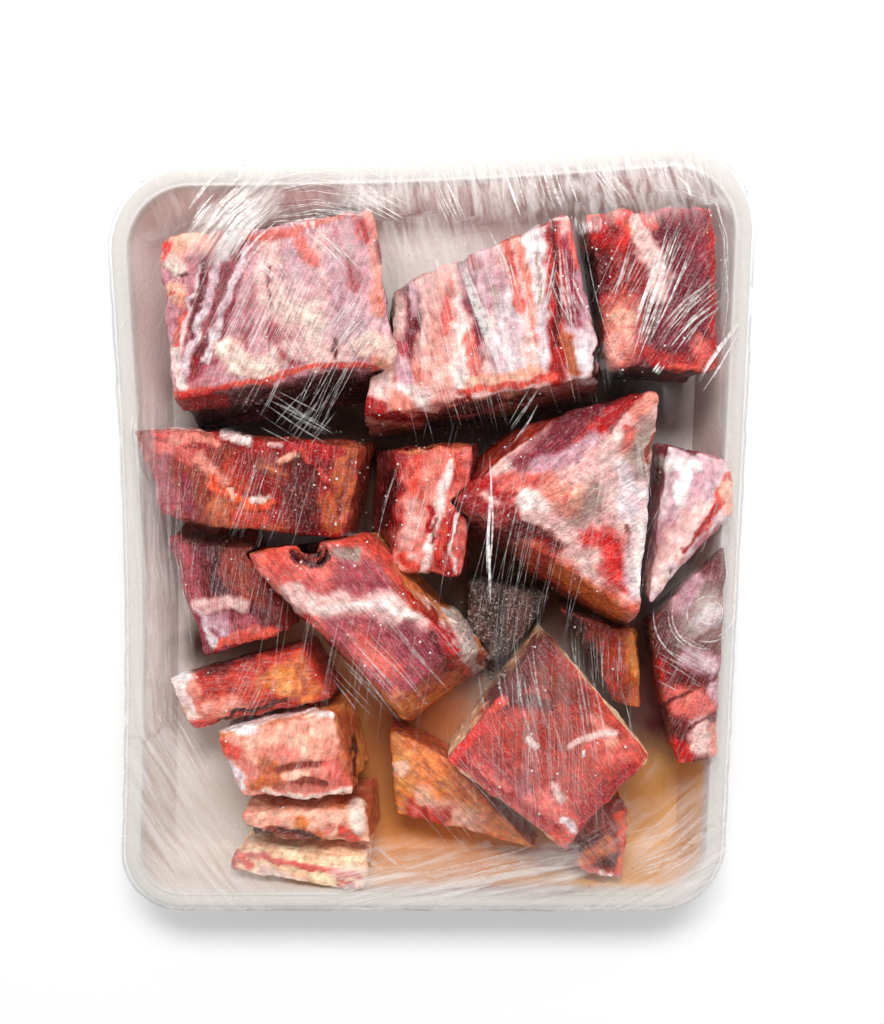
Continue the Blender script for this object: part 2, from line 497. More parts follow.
meats["crimson_block"] = dict(top="wine", side="dark_lean", grain=70, strokes=[
    ("grey_haze", 14, 0.4, [(84, -16)]),
    ("lilac_white", 7, 0.5, [(85, -17)]),
    ("lilac", 6, 0.0, [(76, -14), (80, -6)]),
    ("dark_lean", 6, 0.0, [(70, -22), (72, -32)]),
    ("lilac", 6, 0.2, [(80, -30), (88, -32)]),
    ("crimson", 7, 0.0, [(69, -34), (70, -44)]),
    ("rose", 8, 0.2, [(76, -44), (84, -44)]),
    ("lilac", 5, 0.2, [(88, -38), (89, -44)]),
    ("pale_pink", 7, 0.2, [(84, -50), (84, -58)]),
    ("salmon", 4, 0.2, [(88, -52), (89, -60)]),
    ("blood", 6, 0.0, [(73, -56), (78, -60)]),
    ("dark_lean", 3.0, 0.0, [(72, -53), (77, -54)]),
    ("coral", 3.0, 0.4, [(78, -63.6), (86, -64.4)]),
    ("wine", 1.2, -0.4, [(70, -46), (80, -42), (90, -35)]),
    ("wine", 1.0, -0.3, [(76, -54), (84, -50), (90, -46)]),
])
meats["diamond_slab"] = dict(top="brick", side="marrow", grain=-58, strokes=[
    ("mauve", 16, 0.0, [(24, -62), (36, -74)]),
    ("brick", 12, 0.0, [(22, -54), (40, -70), (46, -80)]),
    ("rose", 8, 0.0, [(36, -78), (44, -84)]),
    ("rust", 10, 0.0, [(36, -54), (50, -58)]),
    ("brick", 9, -0.2, [(24, -46), (34, -44)]),
    ("wine", 9, -0.3, [(22, -42), (30, -35), (36, -27)]),
    ("brown", 9, 0.0, [(38, -36), (48, -44)]),
    ("wine", 5, -0.2, [(28, -44), (38, -46)]),
    ("rose", 9, 0.0, [(54, -60), (60, -60)]),
    ("salmon", 4, 0.0, [(52, -49), (57, -57)]),
    ("pale_pink", 2.0, 0.0, [(44, -58), (58, -54)]),
    ("bright", 3.4, 0.3, [(8, -64.6), (14, -56.6), (20, -48.6)]),
    ("coral", 2.4, 0.2, [(18, -51), (24, -44)]),
    ("crimson", 3.2, 0.3, [(13, -63), (21, -69), (31, -77), (41, -85)]),
    ("rose", 2.0, 0.2, [(15, -63), (26, -72)]),
    ("crimson", 6, 0.0, [(50, -82), (57, -73), (64, -66)]),
    ("bright", 3.0, 0.0, [(52, -84), (58, -76)]),
    ("coral", 5, 0.2, [(42, -88), (46, -90)]),
    ("lilac_white", 2.2, 0.0, [(43, -82), (46, -85)]),
    ("pale_pink", 3.0, 0.0, [(40, -71), (42, -75)]),
    ("pink_white", 1.8, 0.3, [(32.4, -56.4), (34.6, -59)]),
    ("white", 1.4, 0.3, [(49, -61)]),
    ("marrow", 4.6, 0.3, [(8, -66.5), (17, -74), (27, -82), (38, -90)]),
    ("cream", 2.2, 0.4, [(9, -67), (12, -70), (22, -78)]),
    ("tan", 1.0, -0.3, [(12, -72), (24, -81), (34, -89)]),
    ("marrow", 2.2, 0.5, [(48, -90.6), (52, -85), (58, -77), (64, -69), (69, -61.4)]),
])
print("strokes on the right", [len(mix["strokes"]) for mix in list(meats.values())[7:]])

# %% Near row of chunks
meats["end_bone_chunk"] = dict(top="brick", side="brick", grain=8, strokes=[
    ("wine", 5, 0.0, [(-70, -34), (-60, -34.6), (-52, -31)]),
    ("brick", 8, 0.0, [(-64, -40), (-52, -38)]),
    ("salmon", 7, 0.2, [(-66, -47), (-56, -47)]),
    ("old_fat", 8, 0.0, [(-46, -38), (-38, -36)]),
    ("apricot", 7, 0.0, [(-42, -40), (-34, -42)]),
    ("tan", 2.4, 0.2, [(-38, -34), (-36, -42)]),
    ("pink_white", 8, 0.6, [(-76, -38), (-73, -42), (-71, -46)]),
    ("peach", 6, 0.3, [(-75, -46), (-71, -49)]),
    ("white", 3.6, 0.4, [(-75, -37), (-72, -37)]),
    ("bright", 3.6, 0.3, [(-72, -52), (-67, -53)]),
    ("salmon", 2.4, 0.2, [(-70, -40), (-68, -48)]),
    ("dark_brown", 1.6, -0.5, [(-62, -50.6), (-52, -48), (-42, -44.4)]),
])
meats["folded_chunk"] = dict(top="salmon", side="old_fat", grain=80, strokes=[
    ("peach", 13, 0.2, [(-52, -56), (-42, -57), (-35, -57)]),
    ("salmon", 7, 0.0, [(-48, -62), (-40, -62)]),
    ("tan", 6, 0.0, [(-50, -67), (-42, -69)]),
    ("amber", 4, 0.0, [(-52, -72), (-46, -71)]),
    ("brown", 2.4, -0.6, [(-44, -67), (-37, -64.6), (-31, -65)]),
    ("peach", 3.0, 0.3, [(-42, -69), (-36, -68)]),
    ("brown", 2.2, -0.5, [(-40, -71.6), (-34, -70), (-30, -71)]),
    ("tan", 6, 0.0, [(-24, -52), (-23, -62), (-22, -70)]),
    ("rose", 5, 0.2, [(-28, -66), (-25, -70)]),
    ("dark_brown", 1.6, -0.4, [(-21.6, -56), (-20.6, -68)]),
    ("rose", 3.2, 0.3, [(-64, -55), (-60, -52.6)]),
    ("coral", 4.0, 0.3, [(-62, -59), (-58, -61)]),
    ("lilac_white", 3.4, 0.2, [(-60, -65), (-56, -72)]),
    ("salmon", 3.4, 0.0, [(-56, -64), (-52, -68)]),
    ("pink_white", 2.6, 0.7, [(-60, -54), (-52, -52), (-44, -50), (-36, -48.4), (-29, -49)]),
    ("white", 4.0, 0.4, [(-56, -53.6), (-53, -54)]),
    ("pale_pink", 4.0, 0.4, [(-42, -46.6), (-35, -44.6)]),
    ("cream", 2.0, 0.6, [(-49, -73.4), (-40, -75.4), (-30, -74.4), (-24, -73)]),
])
meats["folded_flap"] = dict(top="peach", side="tan", grain=20, strokes=[
    ("peach", 9, 0.2, [(-54, -78), (-46, -80)]),
    ("peach", 10, 0.3, [(-36, -81), (-28, -83)]),
    ("amber", 4, 0.0, [(-38, -83), (-32, -89)]),
    ("peach", 1.6, 0.4, [(-36, -86), (-31, -82)]),
    ("salmon", 1.4, 0.3, [(-32, -89), (-28, -84)]),
    ("cream", 4.6, 0.5, [(-21, -77), (-19.6, -85)]),
    ("coral", 3.6, 0.0, [(-25, -86), (-21.6, -89)]),
    ("rose", 3.4, 0.2, [(-57, -80), (-57, -86), (-57.6, -92)]),
    ("brown", 5, -0.5, [(-54, -87.6), (-44, -88), (-36, -88)]),
    ("deep_plum", 4.4, -0.9, [(-54, -86.6), (-49, -88.6)]),
    ("dark_brown", 2.4, -0.6, [(-44, -87), (-36, -87.6), (-30, -92)]),
    ("white", 1.8, 0.3, [(-53.6, -86.4)]),
    ("peach", 4.4, 0.2, [(-46, -91.6), (-38, -93.6), (-30, -96)]),
    ("rose", 2.0, 0.2, [(-56, -92), (-46, -94.6)]),
])
meats["marrow_slab"] = dict(top="marrow", side="marrow", grain=-8, strokes=[
    ("cream", 6, 0.1, [(-50, -101), (-40, -104)]),
    ("rose", 2.2, 0.3, [(-58, -93.6), (-48, -95.4), (-36, -98), (-20, -101)]),
    ("crimson", 4.0, 0.2, [(-59, -95), (-61, -98.6), (-57, -102)]),
    ("coral", 3.0, 0.2, [(-57, -96), (-54, -98)]),
    ("coral", 1.8, -0.1, [(-26, -102), (-22, -105), (-23, -108.6)]),
    ("bright", 1.8, 0.0, [(-19.4, -105), (-20.6, -108.6)]),
    ("tan", 1.4, -0.2, [(-33, -103.6), (-31, -107)]),
    ("coral", 1.2, -0.1, [(-26.6, -104), (-25.6, -106)]),
    ("salmon", 1.6, 0.2, [(-53, -106), (-40, -108.6), (-28, -110)]),
])
meats["flat_cut"] = dict(top="apricot", side="tan", grain=-40, strokes=[
    ("peach", 8, 0.0, [(0, -76), (14, -84)]),
    ("old_fat", 10, 0.0, [(-12, -62), (-8, -74)]),
    ("brick", 6, 0.1, [(-3, -78), (5, -81)]),
    ("rose", 1.2, 0.2, [(-3, -78), (-2, -84)]),
    ("rose", 1.0, 0.2, [(2, -78), (3, -85)]),
    ("salmon", 2.2, 0.4, [(-5, -84.6), (5, -87.4), (16, -90), (25, -92)]),
    ("pink_white", 1.6, 0.3, [(-8, -84), (2, -88), (14, -92)]),
    ("peach", 4.4, 0.2, [(-14, -66), (-6, -66)]),
    ("amber", 5, 0.2, [(-18, -80), (-12, -86)]),
])
meats["fat_strip"] = dict(top="brown", side="dark_brown", grain=90, strokes=[
    ("amber", 7, 0.2, [(60, -22), (63, -34), (64, -44)]),
    ("rust", 6, 0.0, [(54, -24), (56, -38)]),
    ("old_fat", 2.6, 0.3, [(62, -24), (65, -38)]),
    ("black_red", 6, -0.2, [(44, -20), (50, -34)]),
    ("amber", 2.0, 0.3, [(50, -48), (60, -52)]),
])
meats["frosted_piece"] = dict(top="smoke", side="smoke", grain=75, strokes=[
    ("smoke", 8, 0.0, [(12, -8), (22, -8), (28, -4)]),
    ("ash", 6, 0.0, [(28, -14), (30, -24)]),
    ("ash", 4, 0.3, [(14, -16), (18, -24)]),
    ("black_red", 4, -0.3, [(20, -34), (24, -40)]),
])
meats["near_corner_piece"] = dict(top="brown", side="rust", grain=-50, strokes=[
    ("dark_brown", 8, -0.4, [(50, -90), (56, -94)]),
    ("tan", 5.0, 0.2, [(49, -95), (57, -90)]),
    ("orange_fat", 2.6, 0.2, [(60, -80), (61.4, -92), (60, -98)]),
    ("old_fat", 2.4, 0.3, [(63.4, -78), (63.4, -92)]),
    ("rose", 3.6, 0.3, [(50, -99), (58, -101), (61, -100)]),
    ("pink_white", 1.6, 0.4, [(54, -99), (59, -101)]),
    ("apricot", 3.4, 0.2, [(45, -100), (52, -102.6), (61, -104.4)]),
    ("lean", 1.0, -0.3, [(46, -98.6), (54, -101.4), (60, -103)]),
])
print("strokes in all", sum(len(mix["strokes"]) for mix in meats.values()))

# %% [markdown]
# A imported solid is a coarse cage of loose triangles. A copy is welded, and a voxel
# remesh turns it into an even skin of faces under a millimetre wide, fine enough for
# the crumbs of a saw cut. Sculpting by hand would also do, but this way every chunk
# keeps the form of its solid. The skin is then lifted and sunk along its normals.

# %% Fine skin
WELD = 0.01
SKIN_CELL = 0.7
FLOOR_HEIGHT = 4.9
ROUNDING = 4


def fine_skin(node, cell):
    """The node's solid as a mesh of small even faces, its edges a little rounded."""
    cage = bmesh.new()
    cage.from_mesh(frame["nodes"][node].data)
    bmesh.ops.remove_doubles(cage, verts=cage.verts, dist=WELD * MM)
    mesh = bpy.data.meshes.new(node + "_cage")
    cage.to_mesh(mesh)
    cage.free()
    holder = bpy.data.objects.new(node + "_cage", mesh)
    bpy.context.scene.collection.objects.link(holder)
    even = holder.modifiers.new("even skin", "REMESH")
    even.mode = "VOXEL"
    even.voxel_size = cell * MM
    rounded = holder.modifiers.new("rounded edges", "SMOOTH")
    rounded.iterations = ROUNDING
    graph = bpy.context.evaluated_depsgraph_get()
    skin = bpy.data.meshes.new_from_object(holder.evaluated_get(graph))
    bpy.data.objects.remove(holder)
    return skin


def read_vectors(mesh, name):
    """One vector for each vertex, as rows of an array."""
    values = np.zeros(len(mesh.vertices) * 3)
    mesh.vertices.foreach_get(name, values)
    return values.reshape(-1, 3)


def write_places(mesh, points):
    """Moves the vertices to these places in mm."""
    mesh.vertices.foreach_set("co", (points * MM).ravel())
    mesh.update()


def write_attribute(mesh, name, kind, values):
    """Stores one value for each vertex, for the materials to read."""
    layer = mesh.attributes.new(name, kind, "POINT")
    key = {"FLOAT": "value", "FLOAT_VECTOR": "vector", "FLOAT_COLOR": "color"}[kind]
    layer.data.foreach_set(key, np.ascontiguousarray(values, dtype=np.float32).ravel())


def write_colours(mesh, name, colours):
    """Stores one linear colour for each vertex."""
    write_attribute(mesh, name, "FLOAT_COLOR", np.c_[np.clip(colours, 0, 1), np.ones(len(colours))])


print("skin cell", SKIN_CELL, "mm")

# %% Dress one chunk
COARSE_RELIEF = (6.0, 0.70)
FINE_RELIEF = (2.2, 0.34)
FIBRE_RELIEF = (1.6, 9.0, 0.22)
RELIEF_SEED = 5
MOTTLE = ((6.0, 0.18), (2.0, 0.18), (1.1, 0.16))
MOTTLE_TINT = np.array([0.7, 1.2, 1.1])
DEPTH_OF_RED = 1.3
TOP_STARTS = 0.15
TOP_FULL = 0.6
FLOOR_CLEAR, FLOOR_FADE = 0.4, 3


def along_grain(points, degrees):
    """Places measured across and along the fibres, with the height."""
    turn = math.radians(degrees)
    along = points[:, 0] * math.cos(turn) + points[:, 1] * math.sin(turn)
    across = points[:, 1] * math.cos(turn) - points[:, 0] * math.sin(turn)
    return np.c_[across, along, points[:, 2]]


def dress_chunk(node, top, side, grain, strokes, seed):
    """The finished skin of one chunk, with its colours stored on its vertices."""
    skin = fine_skin(node, SKIN_CELL)
    points = read_vectors(skin, "co") / MM
    normals = read_vectors(skin, "normal")
    plan = on_plan(points)
    facing = np.clip((normals[:, 2] - TOP_STARTS) / (TOP_FULL - TOP_STARTS), 0, 1)[:, None]
    colours = finish[side] * (1 - facing) + finish[top] * facing
    lift = paint(points, plan, colours, strokes, seed)
    for width, strength in MOTTLE:
        shade = strength * bumps(points, width, seed)
        colours *= 1 + shade[:, None] * MOTTLE_TINT
    brightest = colours.max(axis=1, keepdims=True)
    colours *= (colours / brightest) ** (DEPTH_OF_RED * (1 - brightest))
    for width, height in (COARSE_RELIEF, FINE_RELIEF):
        lift += height * bumps(points, width, seed + RELIEF_SEED)
    fibres = along_grain(points, grain)
    across, along, height = FIBRE_RELIEF
    lift += height * bumps(fibres / np.array([across, along, across * 2]), 1.0, seed)
    near_floor = np.clip((points[:, 2] - FLOOR_HEIGHT - FLOOR_CLEAR) / FLOOR_FADE, 0, 1)
    points += normals * (lift * near_floor)[:, None]
    write_places(skin, points)
    write_colours(skin, "flesh", colours)
    write_attribute(skin, "grain", "FLOAT_VECTOR", fibres)
    skin.shade_smooth()
    return skin


def add_piece(name, mesh, slot, *nodes):
    """Puts a finished mesh in the scene, where it rides with the pack."""
    piece = bpy.data.objects.new(name, mesh)
    bpy.context.scene.collection.objects.link(piece)
    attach(piece, "root")
    if nodes:
        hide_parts(*nodes)
    return piece


print("dressing takes", len(MOTTLE), "sizes of mottling and 3 of relief")

# %% All the chunks
chunks = {}
for seed, node in enumerate(chunk_names):
    skin = dress_chunk(node, seed=seed, **meats[node])
    chunks[node] = add_piece(node + "_meat", skin, node_slots[node], node)
print(sum(len(piece.data.polygons) for piece in chunks.values()), "faces on the chunks")

# %% [markdown]
# The colours on the skin are only as fine as its faces. The material adds what is
# finer: fibres and pale threads along the grain, crumbs, specks of fat, a wet film of
# juice whose shine comes and goes, and the small bumps that break up each highlight.
# Its patterns are laid in real millimetres, from the grain stored on the skin and from
# Object coordinates. A thread lies where a slow noise along the fibres crosses its
# middle value: its scale says how closely the threads lie beside the fibres, and its
# half width is a step of that noise and not a length.

# %% Node helper
def add_node(tree, kind, inputs, **settings):
    """Adds a node with its settings; a socket that is given another's output is linked."""
    node = tree.nodes.new(kind)
    for name, value in settings.items():
        setattr(node, name, value)
    for name, value in inputs.items():
        if isinstance(value, bpy.types.NodeSocket):
            tree.links.new(value, node.inputs[name])
        else:
            node.inputs[name].default_value = value
    return node


def remap(tree, value, source, target):
    """A node that carries a value from one range over to another, and holds it there."""
    return add_node(tree, "ShaderNodeMapRange", {
        "Value": value, "From Min": source[0], "From Max": source[1],
        "To Min": target[0], "To Max": target[1]})


def new_material(name):
    """An empty material: its node tree and its shader."""
    material = bpy.data.materials.new(name)
    material.use_nodes = True
    return material, material.node_tree, material.node_tree.nodes["Principled BSDF"]


PER_MM = 1 / MM
MIX_A, MIX_B, MIX_RESULT = 6, 7, 2
print("materials are drawn at", PER_MM, "units to the metre")

# %% Wet raw meat
# Raw meat and sawn bone under film: wet, so glossy, but broken up by fibres and crumbs
MEAT_LOOKS = {
    "membrane_meat": dict(fibre=0.7, streaks=0.30, flecks=0.10, wet=0.18, relief=0.45),
    "rib_bone": dict(fibre=0.8, streaks=0.22, flecks=0.10, wet=0.24, relief=0.28),
    "dark_meat": dict(fibre=0.7, streaks=0.35, flecks=0.10, wet=0.17, relief=0.55),
    "red_meat": dict(fibre=0.8, streaks=0.32, flecks=0.08, wet=0.16, relief=0.60),
    "silver_skin": dict(fibre=0.6, streaks=0.16, flecks=0.10, wet=0.16, relief=0.22),
    "marrow_bone": dict(fibre=0.9, streaks=0.16, flecks=0.10, wet=0.30, relief=0.30),
    "brown_meat": dict(fibre=0.9, streaks=0.30, flecks=0.10, wet=0.24, relief=0.35),
    "frosted_meat": dict(fibre=0.9, streaks=0.25, flecks=0.40, wet=0.30, relief=0.40),
}
FIBRE_STRETCH = 9.0
FLECK_WIDTH = 0.75
CRUMB_WIDTH, CRUMB_SHADE = 2.4, 0.30
THREAD_SCALE, THREAD_HALF, THREAD_SHARE = 0.36, 0.034, 0.24
WET_PATCH = 4.0
MEAT_IOR = 1.38
MEAT_SHINE = 0.5


def meat_material(name, fibre, streaks, flecks, wet, relief):
    """Raw meat, sawn and packed wet: the stored colour, broken up by fibres and fat."""
    material, tree, shader = new_material("raw " + name.replace("_", " "))
    flesh = add_node(tree, "ShaderNodeAttribute", {}, attribute_name="flesh")
    grain = add_node(tree, "ShaderNodeAttribute", {}, attribute_name="grain")
    place = add_node(tree, "ShaderNodeTexCoord", {})
    stretched = add_node(tree, "ShaderNodeVectorMath", {
        0: grain.outputs["Vector"],
        1: (1 / fibre, 1 / (fibre * FIBRE_STRETCH), 1 / (fibre * 2))}, operation="MULTIPLY")
    fibres = add_node(tree, "ShaderNodeTexNoise", {
        "Vector": stretched.outputs[0], "Scale": 1.0, "Detail": 3.0, "Roughness": 0.6, "Distortion": 0.5})
    shade = remap(tree, fibres.outputs[0], (0.3, 0.7), (1 - streaks, 1 + streaks))
    crumbs = add_node(tree, "ShaderNodeTexNoise", {
        "Vector": place.outputs["Object"], "Scale": PER_MM / CRUMB_WIDTH,
        "Detail": 4.0, "Roughness": 0.65})
    crumb_shade = remap(tree, crumbs.outputs[0], (0.34, 0.66), (1 - CRUMB_SHADE, 1 + CRUMB_SHADE))
    both_shades = add_node(tree, "ShaderNodeMath", {
        0: shade.outputs[0], 1: crumb_shade.outputs[0]}, operation="MULTIPLY")
    streaked = add_node(tree, "ShaderNodeVectorMath", {
        0: flesh.outputs["Color"], "Scale": both_shades.outputs[0]}, operation="SCALE")
    threads = add_node(tree, "ShaderNodeTexNoise", {
        "Vector": stretched.outputs[0], "Scale": THREAD_SCALE, "Detail": 2.0, "Distortion": 2.0})
    off_thread = add_node(tree, "ShaderNodeMath", {
        0: threads.outputs[0], 1: 0.5}, operation="SUBTRACT")
    from_thread = add_node(tree, "ShaderNodeMath", {0: off_thread.outputs[0]}, operation="ABSOLUTE")
    thread_share = remap(tree, from_thread.outputs[0], (0.0, THREAD_HALF), (THREAD_SHARE, 0.0))
    threaded = add_node(tree, "ShaderNodeMix", {
        0: thread_share.outputs[0], MIX_A: streaked.outputs[0],
        MIX_B: (*finish["pale_pink"], 1)}, data_type="RGBA")
    specks = add_node(tree, "ShaderNodeTexNoise", {
        "Vector": place.outputs["Object"], "Scale": PER_MM / FLECK_WIDTH, "Detail": 2.0})
    speck_share = remap(tree, specks.outputs[0], (0.56, 0.68), (0.0, flecks))
    flecked = add_node(tree, "ShaderNodeMix", {
        0: speck_share.outputs[0], MIX_A: threaded.outputs[MIX_RESULT],
        MIX_B: (*finish["pink_white"], 1)}, data_type="RGBA")
    wetness = add_node(tree, "ShaderNodeTexNoise", {
        "Vector": place.outputs["Object"], "Scale": PER_MM / WET_PATCH, "Detail": 2.0})
    shine = remap(tree, wetness.outputs[0], (0.35, 0.65), (wet * 0.7, wet * 1.5))
    height = add_node(tree, "ShaderNodeMath", {
        0: specks.outputs[0], 1: fibres.outputs[0]}, operation="ADD")
    height = add_node(tree, "ShaderNodeMath", {
        0: height.outputs[0], 1: crumbs.outputs[0]}, operation="ADD")
    bump = add_node(tree, "ShaderNodeBump", {
        "Height": height.outputs[0], "Strength": 1.0, "Distance": relief * MM})
    tree.links.new(flecked.outputs[MIX_RESULT], shader.inputs["Base Color"])
    tree.links.new(shine.outputs[0], shader.inputs["Roughness"])
    tree.links.new(bump.outputs[0], shader.inputs["Normal"])
    shader.inputs["IOR"].default_value = MEAT_IOR
    shader.inputs["Specular IOR Level"].default_value = MEAT_SHINE
    return material


meat_materials = {name: meat_material(name, **look) for name, look in MEAT_LOOKS.items()}
for node, piece in chunks.items():
    piece.data.materials.append(meat_materials[node_slots[node]])
print(len(meat_materials), "kinds of meat and bone")

# %% [markdown]
# The tray is a sheet of foamed polystyrene pressed into shape. The solid has few
# sides, so its corners would look cut. Here its wall profile is drawn once with a
# smooth line and carried round a smooth outline, which the tight film has pulled a
# little out of square. The profile is bridged ring to ring and shut at both ends.

# %% Outline of the tray
TRAY_WIDTH, TRAY_LENGTH, TRAY_DEPTH = 192.0, 234.5, 26.0
FAR_RADIUS, NEAR_RADIUS = 26.0, 20.0
LIP, WALL_RUN, FILLET, FOAM = 6.0, 5.0, 3.2, 4.0
LIP_ROLL, LIP_SIDE = 1.8, 2.0
FOOT_INSET, FOOT_HEIGHT = 26.0, 0.9
SIDE_LEAN, FAR_EDGE_SLANT, NEAR_EDGE_SLANT = 0.0165, 0.0317, 0.0146
LEFT_PINCH, FAR_PINCH, CENTRE_SHIFT = 4.0, 2.6, -0.5


def rounded_point(s, t, inset):
    """A point of the rounded outline, inset by so much, for a point of a square's edge."""
    half_x = TRAY_WIDTH / 2 - inset
    half_y = TRAY_LENGTH / 2 - inset
    radius = max((FAR_RADIUS if t > 0 else NEAR_RADIUS) - inset, 1.0)
    x, y = abs(s) * half_x, abs(t) * half_y
    past_x, past_y = x - (half_x - radius), y - (half_y - radius)
    if past_x > 0 and past_y > 0:
        eighth = math.pi / 4
        angle = eighth * past_y / radius
        if abs(t) > abs(s):
            angle = math.pi / 2 - eighth * past_x / radius
        x = half_x - radius + radius * math.cos(angle)
        y = half_y - radius + radius * math.sin(angle)
    return math.copysign(x, s), math.copysign(y, t)


def tray_point(s, t, inset):
    """A point inside or on the outline, racked as the film has pulled the tray."""
    ring = max(abs(s), abs(t))
    if ring == 0:
        x, y = 0.0, 0.0
    else:
        x, y = (ring * value for value in rounded_point(s / ring, t / ring, inset))
    along, across = 2 * y / TRAY_LENGTH, 2 * x / TRAY_WIDTH
    slant = NEAR_EDGE_SLANT + (FAR_EDGE_SLANT - NEAR_EDGE_SLANT) * (along + 1) / 2
    left_pull = LEFT_PINCH * max(-across, 0.0) * math.cos(along * math.pi / 2)
    far_pull = FAR_PINCH * max(along, 0.0) * max(math.cos(across * math.pi / 2), 0.0)
    return x + SIDE_LEAN * y + left_pull + CENTRE_SHIFT, y + slant * x - far_pull


print("lip corner", [round(v, 1) for v in tray_point(1, 1, 0)])

# %% Foam tray shell
PROFILE_STEPS = 5
SQUARE_CELLS = 96
FLOOR_RINGS = 24


def smooth_line(points, steps):
    """A smooth line through the points, with so many steps between each pair."""
    points = [np.array(p, float) for p in points]
    ends = [2 * points[0] - points[1], *points, 2 * points[-1] - points[-2]]
    line = []
    for a, b, c, d in zip(ends, ends[1:], ends[2:], ends[3:]):
        for k in range(steps):
            f = k / steps
            line.append(0.5 * (2 * b + (c - a) * f + (2 * a - 5 * b + 4 * c - d) * f ** 2
                               + (3 * b - a - 3 * c + d) * f ** 3))
    return [*line, points[-1]]


def square_edge(cells):
    """Points round a square from -1 to 1, so many to a side."""
    side = [2 * k / cells - 1 for k in range(cells)]
    points = [(1.0, q) for q in side] + [(-q, 1.0) for q in side]
    return points + [(-1.0, -q) for q in side] + [(q, -1.0) for q in side]


def add_ring(shell, edges, square, place):
    """Draws the open edge on to a new ring, where place gives each point's spot."""
    grown = bmesh.ops.extrude_edge_only(shell, edges=edges)["geom"]
    for vert in grown:
        if isinstance(vert, bmesh.types.BMVert):
            s, t, _ = vert[square]
            vert.co = place(s, t)
    return [e for e in grown if isinstance(e, bmesh.types.BMEdge) and e.is_boundary]


wall_inset = LIP + WALL_RUN
lip_side = TRAY_DEPTH - LIP_SIDE
tray_profile = smooth_line([
    (FOOT_INSET - 1.0, FOOT_HEIGHT),
    (wall_inset - FILLET / 2, FOOT_HEIGHT),
    (wall_inset - FOAM, FOOT_HEIGHT + FILLET * 0.8),
    (LIP - FOAM + 0.2, lip_side - 2.5),
    (LIP_ROLL / 3, lip_side - 1.6),
    (0.0, lip_side),
    (LIP_ROLL * 0.28, lip_side + 1.4),
    (LIP_ROLL, TRAY_DEPTH),
    (LIP - LIP_ROLL, TRAY_DEPTH),
    (LIP, TRAY_DEPTH - LIP_ROLL * 0.8),
    (wall_inset, FLOOR_HEIGHT + FILLET),
    (wall_inset + FILLET * 0.3, FLOOR_HEIGHT + FILLET * 0.28),
    (wall_inset + FILLET, FLOOR_HEIGHT),
], PROFILE_STEPS)
floor_inset = wall_inset + FILLET
edge_points = square_edge(SQUARE_CELLS)
shell = bmesh.new()
square = shell.verts.layers.float_vector.new("square")
foot = bmesh.ops.create_circle(shell, segments=len(edge_points), radius=1.0, cap_ends=True)
for vert, (s, t) in zip(foot["verts"], edge_points):
    vert[square] = (s, t, 0.0)
    vert.co = (*tray_point(s, t, FOOT_INSET), 0.0)
edges = shell.edges[:]
for inset, height in tray_profile:
    edges = add_ring(shell, edges, square, lambda s, t: (*tray_point(s, t, inset), height))
for k in range(1, FLOOR_RINGS):
    share = 1 - k / FLOOR_RINGS
    edges = add_ring(shell, edges, square,
                     lambda s, t: (*tray_point(s * share, t * share, floor_inset), FLOOR_HEIGHT))
bmesh.ops.holes_fill(shell, edges=edges, sides=0)
bmesh.ops.recalc_face_normals(shell, faces=shell.faces)
tray_mesh = bpy.data.meshes.new("foam_tray_shell")
shell.to_mesh(tray_mesh)
shell.free()
print(len(tray_mesh.polygons), "faces on the tray")

# %% Stains on the foam
# Juice that has run under the meat tints the foam, most of all in the near right corner
TRAY_SEED = 60
OUTWARD = 0.1
FLOOR_MARGIN, RIM_MARGIN = 0.5, 2
tray_points = read_vectors(tray_mesh, "co").copy()
tray_colours = np.tile(finish["foam_white"], (len(tray_points), 1))
tray_strokes = [
    ("foam_blush", 30, 0, [(-80, 92), (-40, 104), (0, 104), (50, 108), (84, 100)]),
    ("foam_blush", 22, 0, [(-84, 70), (-82, 20), (-80, -30)]),
    ("foam_blush", 20, 0, [(92, 70), (88, 10), (88, -40)]),
    ("foam_cream", 40, 0, [(-80, -60), (-74, -92), (-40, -112)]),
    ("juice_stain", 40, 0, [(72, -76), (64, -96), (20, -100), (-10, -104)]),
    ("juice_stain", 24, 0, [(68, -68), (76, -76)]),
    ("old_fat", 36, 0, [(-12, -50), (-8, -80), (14, -92)]),
    ("apricot", 26, 0, [(-2, -44), (6, -50), (2, -58)]),
    ("apricot", 30, 0, [(-44, -26), (-34, -36), (-22, -48)]),
    ("old_fat", 16, 0, [(-26, -48), (-20, -60), (-18, -70)]),
    ("black_red", 30, 0, [(-52, 44), (-40, 42), (0, 38), (30, 40), (58, 48)]),
    ("black_red", 18, 0, [(-18, 32), (-16, 0)]),
    ("dark_lean", 34, 0, [(14, 4), (40, -12), (60, -26)]),
    ("black_red", 24, 0, [(14, -8), (22, -28)]),
    ("dark_lean", 16, 0, [(66, -26), (72, -52)]),
    ("dark_brown", 14, 0, [(-50, -20), (-66, -28)]),
]
outward = tray_points[:, :2] / np.array([TRAY_WIDTH / 2, TRAY_LENGTH / 2])
turned_out = (read_vectors(tray_mesh, "normal")[:, :2] * outward).sum(axis=1) > OUTWARD
above_floor = tray_points[:, 2] > FLOOR_HEIGHT - FLOOR_MARGIN
below_rim = tray_points[:, 2] < TRAY_DEPTH - RIM_MARGIN
inside = above_floor & below_rim & ~turned_out
stained = tray_colours.copy()
paint(tray_points, on_plan(tray_points), stained, tray_strokes, TRAY_SEED)
stain_share = np.where(inside, 1.0, 0.0)[:, None]
tray_colours += stain_share * (stained - tray_colours)
write_places(tray_mesh, tray_points)
write_colours(tray_mesh, "stain", tray_colours)
tray_mesh.shade_smooth()
tray = add_piece("foam_tray_moulded", tray_mesh, "foam", "foam_tray")
